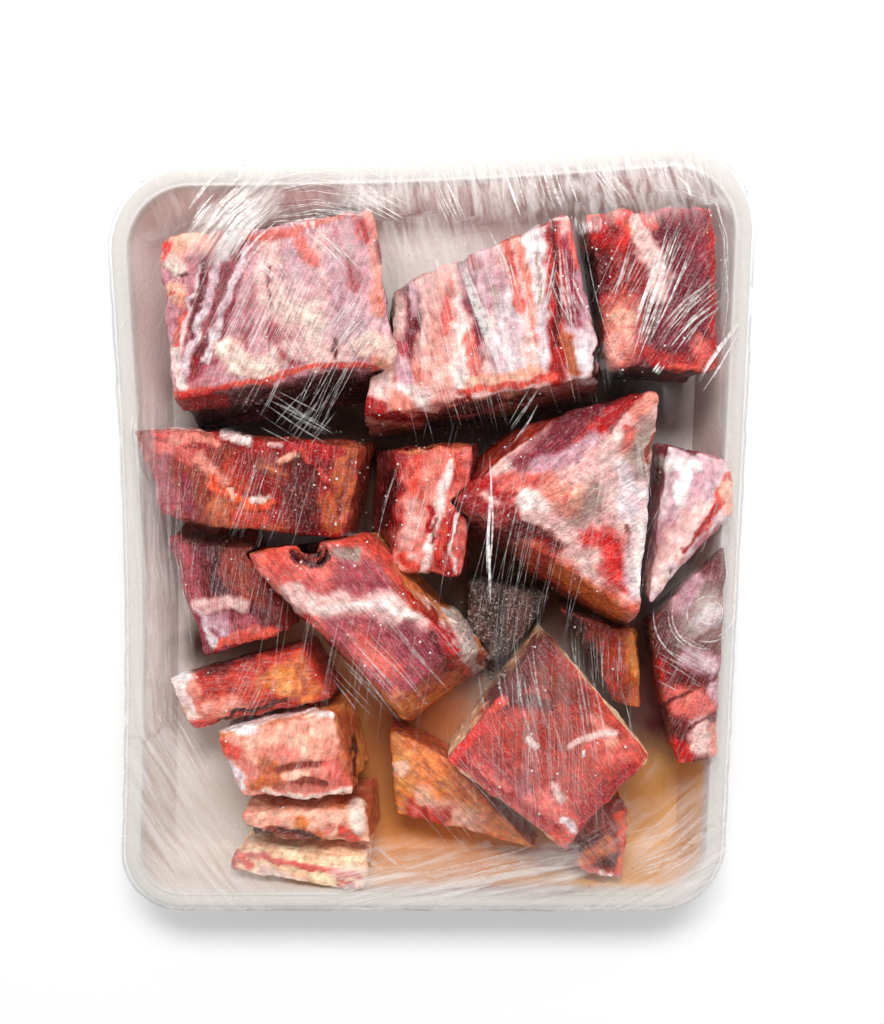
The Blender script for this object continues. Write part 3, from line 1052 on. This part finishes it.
print(int(inside.sum()), "points of the tray can be stained")

# %% Expanded polystyrene
# Pressed foam sheet: white, matt and faintly pebbled, because its skin shows the cells
BEAD_WIDTH = 1.5
foam_material, tree, shader = new_material("expanded polystyrene foam")
stain = add_node(tree, "ShaderNodeAttribute", {}, attribute_name="stain")
place = add_node(tree, "ShaderNodeTexCoord", {})
beads = add_node(tree, "ShaderNodeTexVoronoi", {
    "Vector": place.outputs["Object"], "Scale": PER_MM / BEAD_WIDTH})
dimple = remap(tree, beads.outputs["Distance"], (0.1, 0.8), (1.0, 0.955))
foam_tint = add_node(tree, "ShaderNodeVectorMath", {
    0: stain.outputs["Color"], "Scale": dimple.outputs[0]}, operation="SCALE")
matt = remap(tree, beads.outputs["Distance"], (0.0, 0.8), (0.45, 0.65))
pebbles = add_node(tree, "ShaderNodeBump", {
    "Height": beads.outputs["Distance"], "Strength": 0.35, "Distance": 0.25 * MM}, invert=True)
tree.links.new(foam_tint.outputs[0], shader.inputs["Base Color"])
tree.links.new(matt.outputs[0], shader.inputs["Roughness"])
tree.links.new(pebbles.outputs[0], shader.inputs["Normal"])
shader.inputs["Specular IOR Level"].default_value = 0.25
tray_mesh.materials.append(foam_material)
print("foam beads", BEAD_WIDTH, "mm wide")

# %% [markdown]
# Juice that has drained from the meat lies a fraction of a millimetre deep on the
# floor. It is a thin sheet, thickest where the brush strokes put it, clear at its
# edges, and cut away where there is none.

# %% Juice on the floor
JUICE_HEIGHT = FLOOR_HEIGHT + 0.3
JUICE_INSET = floor_inset - 1.5
JUICE_FADE = 0.16
JUICE_SEED = 70
JUICE_SWELL = (9.0, 0.12)
DRY = 0.02
juice_strokes = [
    (0.5, 30, [(66, -72), (74, -84)]),
    (0.7, 36, [(-10, -62), (-8, -84), (20, -96), (50, -100)]),
    (0.3, 40, [(0, 20), (20, -10), (50, -34)]),
    (0.15, 24, [(-40, 40), (0, 42), (50, 48)]),
]
juice_sheet = bmesh.new()
bmesh.ops.create_grid(juice_sheet, x_segments=80, y_segments=100, size=1.0)
juice_mesh = bpy.data.meshes.new("meat_juice")
square_places = np.array([vert.co[:2] for vert in juice_sheet.verts])
juice_points = np.array([(*tray_point(s, t, JUICE_INSET), JUICE_HEIGHT) for s, t in square_places])
juice_plan = ragged(juice_points, on_plan(juice_points), JUICE_SEED)
depth = np.max([share * stroke_weight(juice_plan, width, route)
                for share, width, route in juice_strokes], axis=0)
depth *= np.clip((1 - np.abs(square_places).max(axis=1)) / JUICE_FADE, 0, 1)
juice_sheet.verts.ensure_lookup_table()
dry = [juice_sheet.verts[k] for k in np.flatnonzero(depth < DRY)]
bmesh.ops.delete(juice_sheet, geom=dry, context="VERTS")
wet = depth >= DRY
kept = depth[wet]
juice_sheet.to_mesh(juice_mesh)
juice_sheet.free()
juice_points = juice_points[wet]
swell_width, swell_height = JUICE_SWELL
juice_points[:, 2] += swell_height * bumps(juice_points, swell_width, JUICE_SEED + 1)
write_places(juice_mesh, juice_points)
write_attribute(juice_mesh, "depth", "FLOAT", kept)
juice_mesh.shade_smooth()
add_piece("meat_juice", juice_mesh, "brown_meat")

# Drained meat juice: thin and clear amber red, glossy as water
CLOUD_WIDTH = 12
JUICE_DENSITY = 0.62
JUICE_ROUGHNESS, JUICE_IOR = 0.08, 1.34
juice_material, tree, shader = new_material("drained meat juice")
depth_read = add_node(tree, "ShaderNodeAttribute", {}, attribute_name="depth")
place = add_node(tree, "ShaderNodeTexCoord", {})
cloud = add_node(tree, "ShaderNodeTexNoise", {
    "Vector": place.outputs["Object"], "Scale": PER_MM / CLOUD_WIDTH, "Detail": 2.0})
tint = add_node(tree, "ShaderNodeMix", {
    0: cloud.outputs[0], MIX_A: (*finish["gold"], 1), MIX_B: (*finish["rust"], 1)}, data_type="RGBA")
body = add_node(tree, "ShaderNodeMath", {
    0: depth_read.outputs["Fac"], 1: JUICE_DENSITY}, operation="MULTIPLY")
tree.links.new(tint.outputs[MIX_RESULT], shader.inputs["Base Color"])
tree.links.new(body.outputs[0], shader.inputs["Alpha"])
shader.inputs["Roughness"].default_value = JUICE_ROUGHNESS
shader.inputs["IOR"].default_value = JUICE_IOR
juice_mesh.materials.append(juice_material)
print(len(juice_mesh.polygons), "faces of juice")

# %% [markdown]
# The wrap is stretch film, a hundredth of a millimetre thick, heat-sealed under the
# tray. It hangs as a tight skin does: pulled flat from one high point to the next,
# and never below what it rests on. So a grid is dropped on the meat, and each free
# point takes the mean height of its neighbours until the sheet settles. The edge is
# then drawn over the lip, down the wall and under the base.

# %% Stretched film
FILM_COLUMNS, FILM_ROWS = 150, 184
FILM_LIP_INSET = 3.0
FILM_GAP = 0.45
SETTLE_STEPS = 1500
FILM_LIP_HEIGHT = 26.5
SKY = 100.0
FILM_WRINKLES = ((16.0, 0.5), (5.0, 0.22), (2.4, 0.07))
FILM_TOP = 54.3


def joined_tree(pieces):
    """A search tree in mm over the surfaces of these pieces."""
    joined = bmesh.new()
    for piece in pieces:
        joined.from_mesh(piece.data)
    bmesh.ops.scale(joined, vec=(PER_MM, PER_MM, PER_MM), verts=joined.verts)
    tree = BVHTree.FromBMesh(joined)
    joined.free()
    return tree


meat_tree = joined_tree([tray, *chunks.values()])
sheet = bmesh.new()
square = sheet.verts.layers.float_vector.new("square")
bmesh.ops.create_grid(sheet, x_segments=FILM_COLUMNS, y_segments=FILM_ROWS, size=1.0)
support = []
for vert in sheet.verts:
    vert[square] = vert.co
    x, y = tray_point(vert.co.x, vert.co.y, FILM_LIP_INSET)
    hit = meat_tree.ray_cast(Vector((x, y, SKY)), Vector((0, 0, -1)))[0]
    support.append(hit.z if hit else 0.0)
    vert.co = (x, y, 0.0)
rows = FILM_ROWS + 1
support = np.pad(np.array(support).reshape(rows, -1), 1, mode="edge")
columns = support.shape[1] - 2
support = np.max([support[i:i + rows, j:j + columns] for i in range(3) for j in range(3)], axis=0)
support += FILM_GAP
hang = support.copy()
for edge in (hang[0], hang[-1], hang[:, 0], hang[:, -1]):
    edge[:] = FILM_LIP_HEIGHT
for _ in range(SETTLE_STEPS):
    mean = (hang[:-2, 1:-1] + hang[2:, 1:-1] + hang[1:-1, :-2] + hang[1:-1, 2:]) / 4
    hang[1:-1, 1:-1] = np.maximum(support[1:-1, 1:-1], mean)
print("film hangs from", round(float(hang.max()), 1), "mm down to", round(float(hang.min()), 1))

# %% Film wrinkles and edge
# The film's way down from the lip and in under the base: inset and height in mm
WALL_STEPS = 3
film_wall = smooth_line([
    (0.9, 26.5), (-0.5, 25.1), (-0.5, 23.1), (5.8, 3.2), (8.6, 0.4), (16.0, 0.4), (23.6, 0.4)], WALL_STEPS)
FILM_SEED = 90
FREE_FADE = 3
WALL_START, WALL_FADE = 1.0, 3
PLEAT_WIDTH, PLEAT_DEPTH, PLEAT_RISE = 5.0, 0.45, 0.1

for vert, height in zip(sheet.verts, hang.ravel()):
    vert.co.z = height
edges = [edge for edge in sheet.edges if edge.is_boundary]
for inset, height in film_wall:
    edges = add_ring(sheet, edges, square, lambda s, t: (*tray_point(s, t, inset), height))
bmesh.ops.recalc_face_normals(sheet, faces=sheet.faces)
film_mesh = bpy.data.meshes.new("stretch_film")
sheet.to_mesh(film_mesh)
sheet.free()
film_points = read_vectors(film_mesh, "co").copy()
film_normals = read_vectors(film_mesh, "normal").copy()
count = hang.size
loose = np.zeros(len(film_points))
free_run = np.clip((hang - support) / FREE_FADE, 0, 1)
free_run[0], free_run[-1], free_run[:, 0], free_run[:, -1] = 0, 0, 0, 0
loose[:count] = free_run.ravel()
for width, height in FILM_WRINKLES:
    film_points[:, 2] += loose * height * bumps(film_points, width, FILM_SEED)
film_points[:, 2] = np.minimum(film_points[:, 2], FILM_TOP)
above_base = np.clip((film_points[:, 2] - WALL_START) / WALL_FADE, 0, 1)
wall_part = above_base * (np.arange(len(film_points)) >= count)
upright = film_points * np.array([1, 1, PLEAT_RISE])
pleats = wall_part * PLEAT_DEPTH * bumps(upright, PLEAT_WIDTH, FILM_SEED + 1)
film_points[:, :2] += film_normals[:, :2] * pleats[:, None]
write_places(film_mesh, film_points)
film_mesh.shade_smooth()
FREE_PULL = 100

# Where layers of film turn milky: how much, how wide, the way of the pull, and the route
milk_strokes = [
    (0.40, 12, -125, [(-46, 106), (-54, 100), (-61, 91)]),
    (0.12, 18, -60, [(-70, 106), (0, 106)]),
    (0.38, 18, 100, [(-14, 108), (80, 110)]),
    (0.09, 26, -110, [(-50, 82), (-48, 72)]),
    (0.09, 26, -60, [(-34, 82), (-28, 74)]),
    (0.26, 17, 90, [(-87, 40), (-86, -30), (-84, -60)]),
    (0.30, 26, -58, [(-84, -64), (-78, -88), (-64, -104)]),
    (0.45, 12, 16, [(-24, -105), (8, -104), (44, -100)]),
    (0.30, 12, 22, [(-12, -96), (14, -100), (40, -96)]),
    (0.38, 15, 30, [(52, -112), (78, -106), (88, -92)]),
    (0.25, 16, 36, [(68, -92), (84, -80)]),
    (0.22, 26, 104, [(-12, 92), (4, 90)]),
    (0.10, 10, 92, [(93, 60), (92, 0), (90, -60)]),
    (0.09, 34, 92, [(34, -42), (36, -70)]),
    (0.20, 18, 30, [(84, -17)]),
]
milk = np.zeros(len(film_points))
pull = along_grain(film_points, FREE_PULL)
film_plan = ragged(film_points, on_plan(film_points), FILM_SEED + 2, WANDERING)
for share, width, way, route in milk_strokes:
    laid = share * stroke_weight(film_plan, width, route)
    over = laid > milk
    pull[over] = along_grain(film_points[over], way)
    milk[over] = laid[over]
write_attribute(film_mesh, "milk", "FLOAT", milk)
write_attribute(film_mesh, "pull", "FLOAT_VECTOR", pull)
film = add_piece("stretch_film", film_mesh, "film", "film_wrap")
film_tree = joined_tree([film])
print(len(film_mesh.polygons), "faces of film")

# %% Clear stretch film
# Food-wrap PVC film: all but invisible face on, and it mirrors the lamp in its creases
FILM_FACE_ALPHA, FILM_EDGE_ALPHA = 0.005, 0.5
PLEAT, PLEAT_RUN = 2.2, 12.0
film_material, tree, shader = new_material("clear PVC stretch film")
slope = add_node(tree, "ShaderNodeLayerWeight", {"Blend": 0.35})
film_alpha = remap(tree, slope.outputs["Facing"], (0.3, 1.0), (FILM_FACE_ALPHA, FILM_EDGE_ALPHA))
pull_read = add_node(tree, "ShaderNodeAttribute", {}, attribute_name="pull")
drawn_out = add_node(tree, "ShaderNodeVectorMath", {
    0: pull_read.outputs["Vector"], 1: (1 / PLEAT, 1 / (PLEAT * PLEAT_RUN), 1 / (PLEAT * 4))},
    operation="MULTIPLY")
creases = add_node(tree, "ShaderNodeTexNoise", {
    "Vector": drawn_out.outputs[0], "Scale": 1.0, "Detail": 3.0, "Roughness": 0.6, "Distortion": 0.6})
crease_bump = add_node(tree, "ShaderNodeBump", {
    "Height": creases.outputs[0], "Strength": 1.0, "Distance": 0.25 * MM})
milk_read = add_node(tree, "ShaderNodeAttribute", {}, attribute_name="milk")
folds = remap(tree, creases.outputs[0], (0.35, 0.65), (0.35, 1.5))
milky = add_node(tree, "ShaderNodeMath", {
    0: milk_read.outputs["Fac"], 1: folds.outputs[0]}, operation="MULTIPLY")
opacity = add_node(tree, "ShaderNodeMath", {
    0: film_alpha.outputs[0], 1: milky.outputs[0]}, operation="ADD", use_clamp=True)
haze = remap(tree, milky.outputs[0], (0.0, 0.25), (0.14, 0.6))
clearness = remap(tree, milky.outputs[0], (0.02, 0.15), (1.0, 0.0))
tree.links.new(clearness.outputs[0], shader.inputs["Metallic"])
tree.links.new(opacity.outputs[0], shader.inputs["Alpha"])
tree.links.new(haze.outputs[0], shader.inputs["Roughness"])
tree.links.new(crease_bump.outputs[0], shader.inputs["Normal"])
shader.inputs["Base Color"].default_value = (*finish["white"], 1)
film_mesh.materials.append(film_material)
print("film shows", FILM_FACE_ALPHA, "face on and", FILM_EDGE_ALPHA, "edge on")

# %% [markdown]
# Face on, a film this thin shows only where it creases. A crease is a fold narrower
# than a millimetre that shines white from end to end, so each one is modelled as a
# thin ribbon lying on the film. They come in bundles that run the same way, from the
# corners where the film was pulled. The table says how many there are in a bundle,
# their width, strength and spread in mm, the shortest share of the route that one may
# cover, and the route of the bundle on the plan.

# %% Bundles of creases
crease_bundles = [
    (70, 0.7, 0.75, 4.5, 0.06, [(-46, 106), (-54, 100), (-61, 91)]),
    (40, 0.4, 0.45, 6.0, 0.10, [(-44, 104), (-30, 106), (-14, 104)]),
    (14, 0.5, 0.60, 2.2, 0.30, [(-20, 109), (-12, 104), (-3, 99)]),
    (12, 0.5, 0.80, 1.3, 0.35, [(24, 115), (27, 107), (30, 99)]),
    (10, 0.5, 0.65, 2.0, 0.35, [(35, 115), (38, 107), (41, 100)]),
    (10, 0.4, 0.55, 2.4, 0.30, [(4, 112), (8, 104), (12, 96)]),
    (9, 0.5, 0.65, 1.6, 0.35, [(49, 115), (53, 109), (58, 102)]),
    (4, 0.5, 0.70, 1.2, 0.60, [(64, 113), (68, 111), (69, 107)]),
    (4, 0.5, 0.70, 1.2, 0.60, [(72, 110), (76, 107), (77, 103)]),
    (9, 0.5, 0.60, 1.6, 0.30, [(79, 97), (71, 79), (64, 61)]),
    (7, 0.4, 0.55, 1.2, 0.40, [(74, 98), (66, 75), (60, 55)]),
    (6, 0.8, 0.85, 0.8, 0.50, [(72, 97), (67, 80), (62, 66)]),
    (8, 0.4, 0.40, 1.5, 0.30, [(62, 92), (56, 74)]),
    (8, 0.5, 0.55, 1.6, 0.35, [(84, 80), (76, 73), (70, 66)]),
    (7, 0.5, 0.55, 1.4, 0.40, [(86, 76), (78, 69), (71, 60)]),
    (6, 0.9, 0.80, 1.0, 0.45, [(93, 71), (86, 60), (79, 48)]),
    (3, 0.6, 0.80, 0.8, 0.60, [(69, 57), (67, 54)]),
    (4, 0.5, 0.55, 0.6, 0.50, [(62, 106), (74, 106), (84, 102), (87, 92), (88, 75), (87, 58)]),
    (7, 0.4, 0.50, 1.4, 0.40, [(-45, 88), (-41, 84), (-38, 80)]),
    (7, 0.5, 0.50, 2.0, 0.40, [(-33, 96), (-26, 90), (-18, 82)]),
    (18, 0.4, 0.38, 4.0, 0.30, [(-13, 72), (-20, 64), (-25, 57)]),
    (7, 0.4, 0.40, 2.0, 0.40, [(-38, 68), (-32, 58)]),
    (10, 0.4, 0.25, 4.0, 0.40, [(-45, 48), (-35, 42), (-25, 36)]),
    (8, 0.4, 0.25, 4.0, 0.40, [(-30, 48), (-40, 36)]),
    (3, 1.3, 0.55, 0.7, 0.60, [(11, 88), (15, 76), (20, 62), (24, 50)]),
    (4, 0.9, 0.55, 0.9, 0.50, [(13, 88), (19, 70), (26, 52)]),
    (5, 0.5, 0.55, 1.0, 0.40, [(20, 95), (24, 86), (27, 75)]),
    (5, 0.6, 0.50, 0.9, 0.40, [(41, 92), (42, 78), (44, 64)]),
    (10, 0.4, 0.38, 2.4, 0.30, [(38, 86), (42, 75), (47, 65)]),
    (7, 0.4, 0.42, 1.8, 0.30, [(37, 92), (34, 80), (31, 70)]),
    (5, 0.4, 0.40, 1.4, 0.50, [(34, 50), (29, 42), (24, 34)]),
    (3, 0.7, 0.75, 0.4, 0.60, [(20.5, 32), (20.5, 12), (20, -15)]),
    (9, 0.4, 0.35, 1.6, 0.35, [(56, 30), (54, 20), (52, 12)]),
    (7, 0.4, 0.35, 1.4, 0.40, [(57, 30), (60, 16)]),
    (4, 0.4, 0.40, 1.0, 0.50, [(62, 40), (66, 15)]),
    (3, 0.4, 0.60, 0.6, 0.60, [(24, 28), (28, 25)]),
    (12, 0.5, 0.30, 10.0, 0.35, [(40, -22), (44, -44), (50, -70)]),
    (9, 0.5, 0.30, 4.0, 0.35, [(26, -34), (28, -52)]),
    (16, 0.5, 0.26, 9.0, 0.35, [(-20, -20), (-6, -36), (2, -46)]),
    (4, 0.5, 0.35, 2.0, 0.50, [(-28, -34), (-15, -50)]),
    (14, 0.6, 0.22, 7.0, 0.35, [(-78, 36), (-80, 0), (-76, -36)]),
    (15, 0.4, 0.30, 6.0, 0.30, [(-88, -45), (-80, -58), (-70, -75)]),
    (6, 1.4, 0.35, 3.0, 0.50, [(-15, -108), (14, -101), (40, -92)]),
    (4, 1.2, 0.40, 1.4, 0.50, [(10, -104), (34, -97)]),
    (3, 1.0, 0.35, 1.2, 0.50, [(-18, -92), (-8, -100)]),
    (18, 0.5, 0.35, 5.0, 0.30, [(62, -95), (76, -90), (88, -78)]),
    (5, 0.5, 0.30, 1.2, 0.40, [(88, -20), (90, 5), (89, 30)]),
    (6, 0.4, 0.25, 5.0, 0.30, [(-86, -88), (-74, -98), (-60, -105)]),
]
ARC_X, ARC_Y, ARC_STRENGTH = 85, -17, 0.6
LEAST_ARC, LARGEST_ARC, ARC_GAP = 2.0, 17.0, 1.1
crease_arcs = [(ARC_X, ARC_Y, radius, ARC_STRENGTH) for radius in np.arange(LEAST_ARC, LARGEST_ARC, ARC_GAP)]
print(sum(bundle[0] for bundle in crease_bundles), "creases in", len(crease_bundles), "bundles")

# %% [markdown]
# Between those pleats the film is drawn tight over every chunk, and fine lines cross
# the chunk in the way of the pull. Where they lie and how far they reach comes from
# the chunk's own box in the frame. The table says how many there are, their way in
# degrees on the plan and their strength.

# %% Fine creases over each chunk
FINE_WIDTH, FINE_SHORTEST = 0.26, 0.10
FINE_REACH, FINE_SPREAD = 0.42, 0.20
fine_pulls = {
    "rib_slab_left": (90, 62, 0.38), "rib_slab_middle": (60, 106, 0.30),
    "block_far_right": (34, 62, 0.30), "marbled_block": (30, 70, 0.26),
    "bone_strip": (18, 74, 0.28), "pointed_wedge": (44, 78, 0.20),
    "silver_skin_chunk": (26, 66, 0.34), "crimson_block": (34, 150, 0.34),
    "purple_block": (22, 78, 0.28), "notched_slab": (40, 80, 0.17),
    "frosted_piece": (20, 85, 0.20), "fat_strip": (26, 92, 0.22),
    "diamond_slab": (56, 92, 0.18), "end_bone_chunk": (18, 66, 0.24),
    "folded_chunk": (20, 62, 0.22), "flat_cut": (22, 130, 0.28),
    "near_corner_piece": (12, 34, 0.30),
}
for node, (number, way, strength) in fine_pulls.items():
    low, high = [np.array(corner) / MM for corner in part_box(node)]
    top = np.array([[(low[0] + high[0]) / 2, (low[1] + high[1]) / 2, high[2]]])
    middle = on_plan(top)[0]
    size = min(high[:2] - low[:2])
    turn = math.radians(way)
    reach = FINE_REACH * size * np.array([math.cos(turn), math.sin(turn)])
    route = [tuple(middle - reach), tuple(middle + reach)]
    crease_bundles.append((number, FINE_WIDTH, strength, FINE_SPREAD * size, FINE_SHORTEST, route))
print(len(fine_pulls), "chunks have fine creases")

# %% Crease ribbons
RIBBON_STEP = 1.3
RIBBON_LIFT = 0.12
RIBBON_BEND, BEND_RUN = 0.5, 7
RIBBON_WIDTHS, RIBBON_STRENGTHS = (0.5, 1.3), (0.6, 1.2)
TAPER_END = 0.3
ARC_WIDTH, ARC_OPENINGS = 0.5, (1.0, 2.2)
luck = np.random.default_rng(12)
ribbons = bmesh.new()
strengths = ribbons.verts.layers.float.new("strength")


def along_route(route, shares):
    """Points at these shares of the route's length, and the way across it."""
    route = np.array(route, float)
    lengths = np.r_[0, np.cumsum(np.linalg.norm(np.diff(route, axis=0), axis=1))]
    places = [np.interp(shares * lengths[-1], lengths, route[:, axis]) for axis in (0, 1)]
    places = np.stack(places, axis=1)
    way = np.gradient(places, axis=0)
    way /= np.linalg.norm(way, axis=1)[:, None]
    return places, np.stack([-way[:, 1], way[:, 0]], axis=1)


def lay_ribbon(places, across, width, strength):
    """One tapered ribbon on the film, through these places on the plan."""
    hits = [seen_from_plan(place, [film_tree]) for place in places]
    if any(point is None for point, _ in hits):
        return
    steps = len(places) - 1
    grid = bmesh.ops.create_grid(ribbons, x_segments=steps, y_segments=1, size=1.0)["verts"]
    for k, vert in enumerate(grid):
        spot, row = k % (steps + 1), k // (steps + 1)
        point, normal = hits[spot]
        up = normal if normal.z > 0 else -normal
        side = Vector((*across[spot], 0.0))
        side = (side - up * side.dot(up)).normalized()
        taper = math.sqrt(math.sin(math.pi * (spot + TAPER_END) / (steps + 2 * TAPER_END)))
        vert.co = (point + up * RIBBON_LIFT + side * (row - 0.5) * width * taper) * MM
        vert[strengths] = strength * taper


for number, width, strength, spread, shortest, route in crease_bundles:
    length = sum(math.dist(a, b) for a, b in zip(route, route[1:]))
    for _ in range(number):
        share = luck.uniform(shortest, 1.0)
        start = luck.uniform(0, 1 - share)
        steps = max(2, round(share * length / RIBBON_STEP))
        shares = np.linspace(start, start + share, steps + 1)
        places, across = along_route(route, shares)
        bend = luck.normal(0, spread) + RIBBON_BEND * np.sin(shares * length / BEND_RUN + luck.uniform(0, 6))
        places = places + across * bend[:, None]
        ribbon_width = width * luck.uniform(*RIBBON_WIDTHS)
        lay_ribbon(places, across, ribbon_width, strength * luck.uniform(*RIBBON_STRENGTHS))
for x, y, radius, strength in crease_arcs:
    opening = luck.uniform(*ARC_OPENINGS)
    turns = np.linspace(0, opening, max(4, round(opening * radius / RIBBON_STEP))) + luck.uniform(0, 6)
    ways = np.stack([np.cos(turns), np.sin(turns)], axis=1)
    lay_ribbon(np.array([x, y]) + radius * ways, ways, ARC_WIDTH, strength)
crease_mesh = bpy.data.meshes.new("film_creases")
ribbons.to_mesh(crease_mesh)
ribbons.free()
creases = add_piece("film_creases", crease_mesh, "film")
print(len(crease_mesh.polygons), "faces of creases")

# %% Creased film
# Folded PVC film: several layers deep, so it turns from clear to a shining milky white
BREAK_WIDTH = 1.6
crease_material, tree, shader = new_material("creased PVC stretch film")
strength = add_node(tree, "ShaderNodeAttribute", {}, attribute_name="strength")
place = add_node(tree, "ShaderNodeTexCoord", {})
broken = add_node(tree, "ShaderNodeTexNoise", {
    "Vector": place.outputs["Object"], "Scale": PER_MM / BREAK_WIDTH, "Detail": 1.0})
gaps = remap(tree, broken.outputs[0], (0.35, 0.6), (0.35, 1.0))
crease_alpha = add_node(tree, "ShaderNodeMath", {
    0: strength.outputs["Fac"], 1: gaps.outputs[0]}, operation="MULTIPLY")
tree.links.new(crease_alpha.outputs[0], shader.inputs["Alpha"])
shader.inputs["Base Color"].default_value = (*finish["white"], 1)
shader.inputs["Roughness"].default_value = 0.2
crease_mesh.materials.append(crease_material)
print("creases are up to", max(bundle[2] for bundle in crease_bundles), "opaque")

# %% [markdown]
# Cold drops of juice stand on the meat where the film doesn't touch it, and one dark
# piece carries frost. Drops and crystals are small balls, joined in one mesh each.

# %% Drops and frost
DROP_SIZES = (0.25, 0.6)
SPRAY_SIZES = (0.18, 0.42)
CRYSTAL_SIZES = (0.25, 0.7)
BALL_LIFT = 0.2

# How many, how far they are spread in mm, and round which place on the plan
drop_places = [
    (12, 4.0, (-32, 0)), (14, 5.0, (-58, 28)), (12, 4.0, (-38, 20)), (10, 4.0, (45, 20)),
    (16, 5.0, (14, 44)), (12, 3.0, (56, 98)), (10, 4.0, (-66, -48)), (16, 5.0, (-46, -66)),
    (14, 4.0, (-46, -88)), (12, 5.0, (-8, -70)), (14, 6.0, (52, -94)), (10, 4.0, (74, -30)),
]
spray_places = [
    (80, 24.0, (-20, 46)), (30, 16.0, (30, 44)), (70, 22.0, (-30, 10)), (50, 16.0, (62, 82)),
    (60, 22.0, (30, -10)), (20, 18.0, (-50, -50)), (16, 16.0, (40, -70)),
]
frost_places = [(70, 3.2, (15, -22)), (40, 2.4, (20, -34)), (20, 2.0, (27, -12)), (14, 2.0, (-50, 46))]


def scatter(places, sizes, name, slot, material):
    """Small balls on the meat round these places on the plan, as one mesh."""
    balls = bmesh.new()
    for number, spread, centre in places:
        for _ in range(number):
            spot = np.array(centre) + luck.normal(0, spread, 2)
            point, normal = seen_from_plan(spot, [meat_tree])
            if point is None:
                continue
            size = luck.uniform(*sizes)
            ball = bmesh.ops.create_icosphere(balls, subdivisions=2, radius=size * MM)["verts"]
            bmesh.ops.translate(balls, vec=(point + normal * size * BALL_LIFT) * MM, verts=ball)
    mesh = bpy.data.meshes.new(name)
    balls.to_mesh(mesh)
    balls.free()
    mesh.shade_smooth()
    mesh.materials.append(material)
    return add_piece(name, mesh, slot)


# Drops of meat juice: clear, glossy, and a little darker than the meat they stand on
drop_material, tree, shader = new_material("drops of meat juice")
shader.inputs["Base Color"].default_value = (*finish["salmon"], 1)
shader.inputs["Roughness"].default_value = 0.06
shader.inputs["Alpha"].default_value = 0.35
drops = scatter(drop_places, DROP_SIZES, "juice_drops", "red_meat", drop_material)

# Small drops between meat and film: round, so that each one holds a white glint
spray_material, tree, shader = new_material("drops of clear water")
shader.inputs["Base Color"].default_value = (*finish["white"], 1)
shader.inputs["Roughness"].default_value = 0.08
shader.inputs["Alpha"].default_value = 0.75
scatter(spray_places, SPRAY_SIZES, "water_drops", "film", spray_material)

# Frost: crushed white ice crystals that glitter a little
frost_material, tree, shader = new_material("frost crystals")
shader.inputs["Base Color"].default_value = (*finish["grey_haze"], 1)
shader.inputs["Roughness"].default_value = 0.35
shader.inputs["Alpha"].default_value = 0.7
frost = scatter(frost_places, CRYSTAL_SIZES, "frost_crystals", "frosted_meat", frost_material)
print(len(drops.data.polygons), "faces of drops and", len(frost.data.polygons), "of frost")

# %% [markdown]
# The pack lies on a plain white floor under soft light from the sides, as in a
# packshot. It is dimmer overhead, where the camera hangs, so that the film has little
# to mirror face on and the meat keeps its depth. A broad lamp beyond the far edge
# gives the creases their shine and lets a soft shadow fall below the near edge.

# %% Floor and light
FLOOR_SIZE = 2.0
LAMP_PLACE = Vector((0.05, 0.62, 0.80))
LAMP_SIZE = (0.45, 0.22)
LAMP_POWER = 8.0
SKY_SIDES, SKY_OVERHEAD = 0.9, 0.22
DIM_FROM, DIM_FULL = 0.70, 0.95
PAPER = 0.9

ground = bmesh.new()
bmesh.ops.create_grid(ground, x_segments=1, y_segments=1, size=FLOOR_SIZE)
floor_mesh = bpy.data.meshes.new("studio_floor")
ground.to_mesh(floor_mesh)
ground.free()
floor = bpy.data.objects.new("studio_floor", floor_mesh)
bpy.context.scene.collection.objects.link(floor)
# Seamless photo paper: pale and matt, so that nothing shows on it but the shadow
floor_material, tree, shader = new_material("white studio paper")
shader.inputs["Base Color"].default_value = (PAPER, PAPER, PAPER, 1)
shader.inputs["Roughness"].default_value = 0.9
floor_mesh.materials.append(floor_material)

lamp_data = bpy.data.lights.new("softbox", "AREA")
lamp_data.shape = "RECTANGLE"
lamp_data.size, lamp_data.size_y = LAMP_SIZE
lamp_data.energy = LAMP_POWER
lamp = bpy.data.objects.new("softbox", lamp_data)
lamp.location = LAMP_PLACE
lamp.rotation_euler = LAMP_PLACE.to_track_quat("Z", "Y").to_euler()
bpy.context.scene.collection.objects.link(lamp)

world = bpy.data.worlds.new("soft sky")
world.use_nodes = True
sky = world.node_tree.nodes["Background"]
sky.inputs["Color"].default_value = (1, 1, 1, 1)
direction = add_node(world.node_tree, "ShaderNodeTexCoord", {})
parts = add_node(world.node_tree, "ShaderNodeSeparateXYZ", {0: direction.outputs["Generated"]})
dimming = remap(world.node_tree, parts.outputs["Z"], (DIM_FROM, DIM_FULL), (SKY_SIDES, SKY_OVERHEAD))
world.node_tree.links.new(dimming.outputs[0], sky.inputs["Strength"])
scene = bpy.context.scene
scene.world = world
scene.view_settings.view_transform = "Standard"
scene.cycles.transparent_max_bounces = 24
print("lamp", round(LAMP_PLACE.length, 2), "m away")
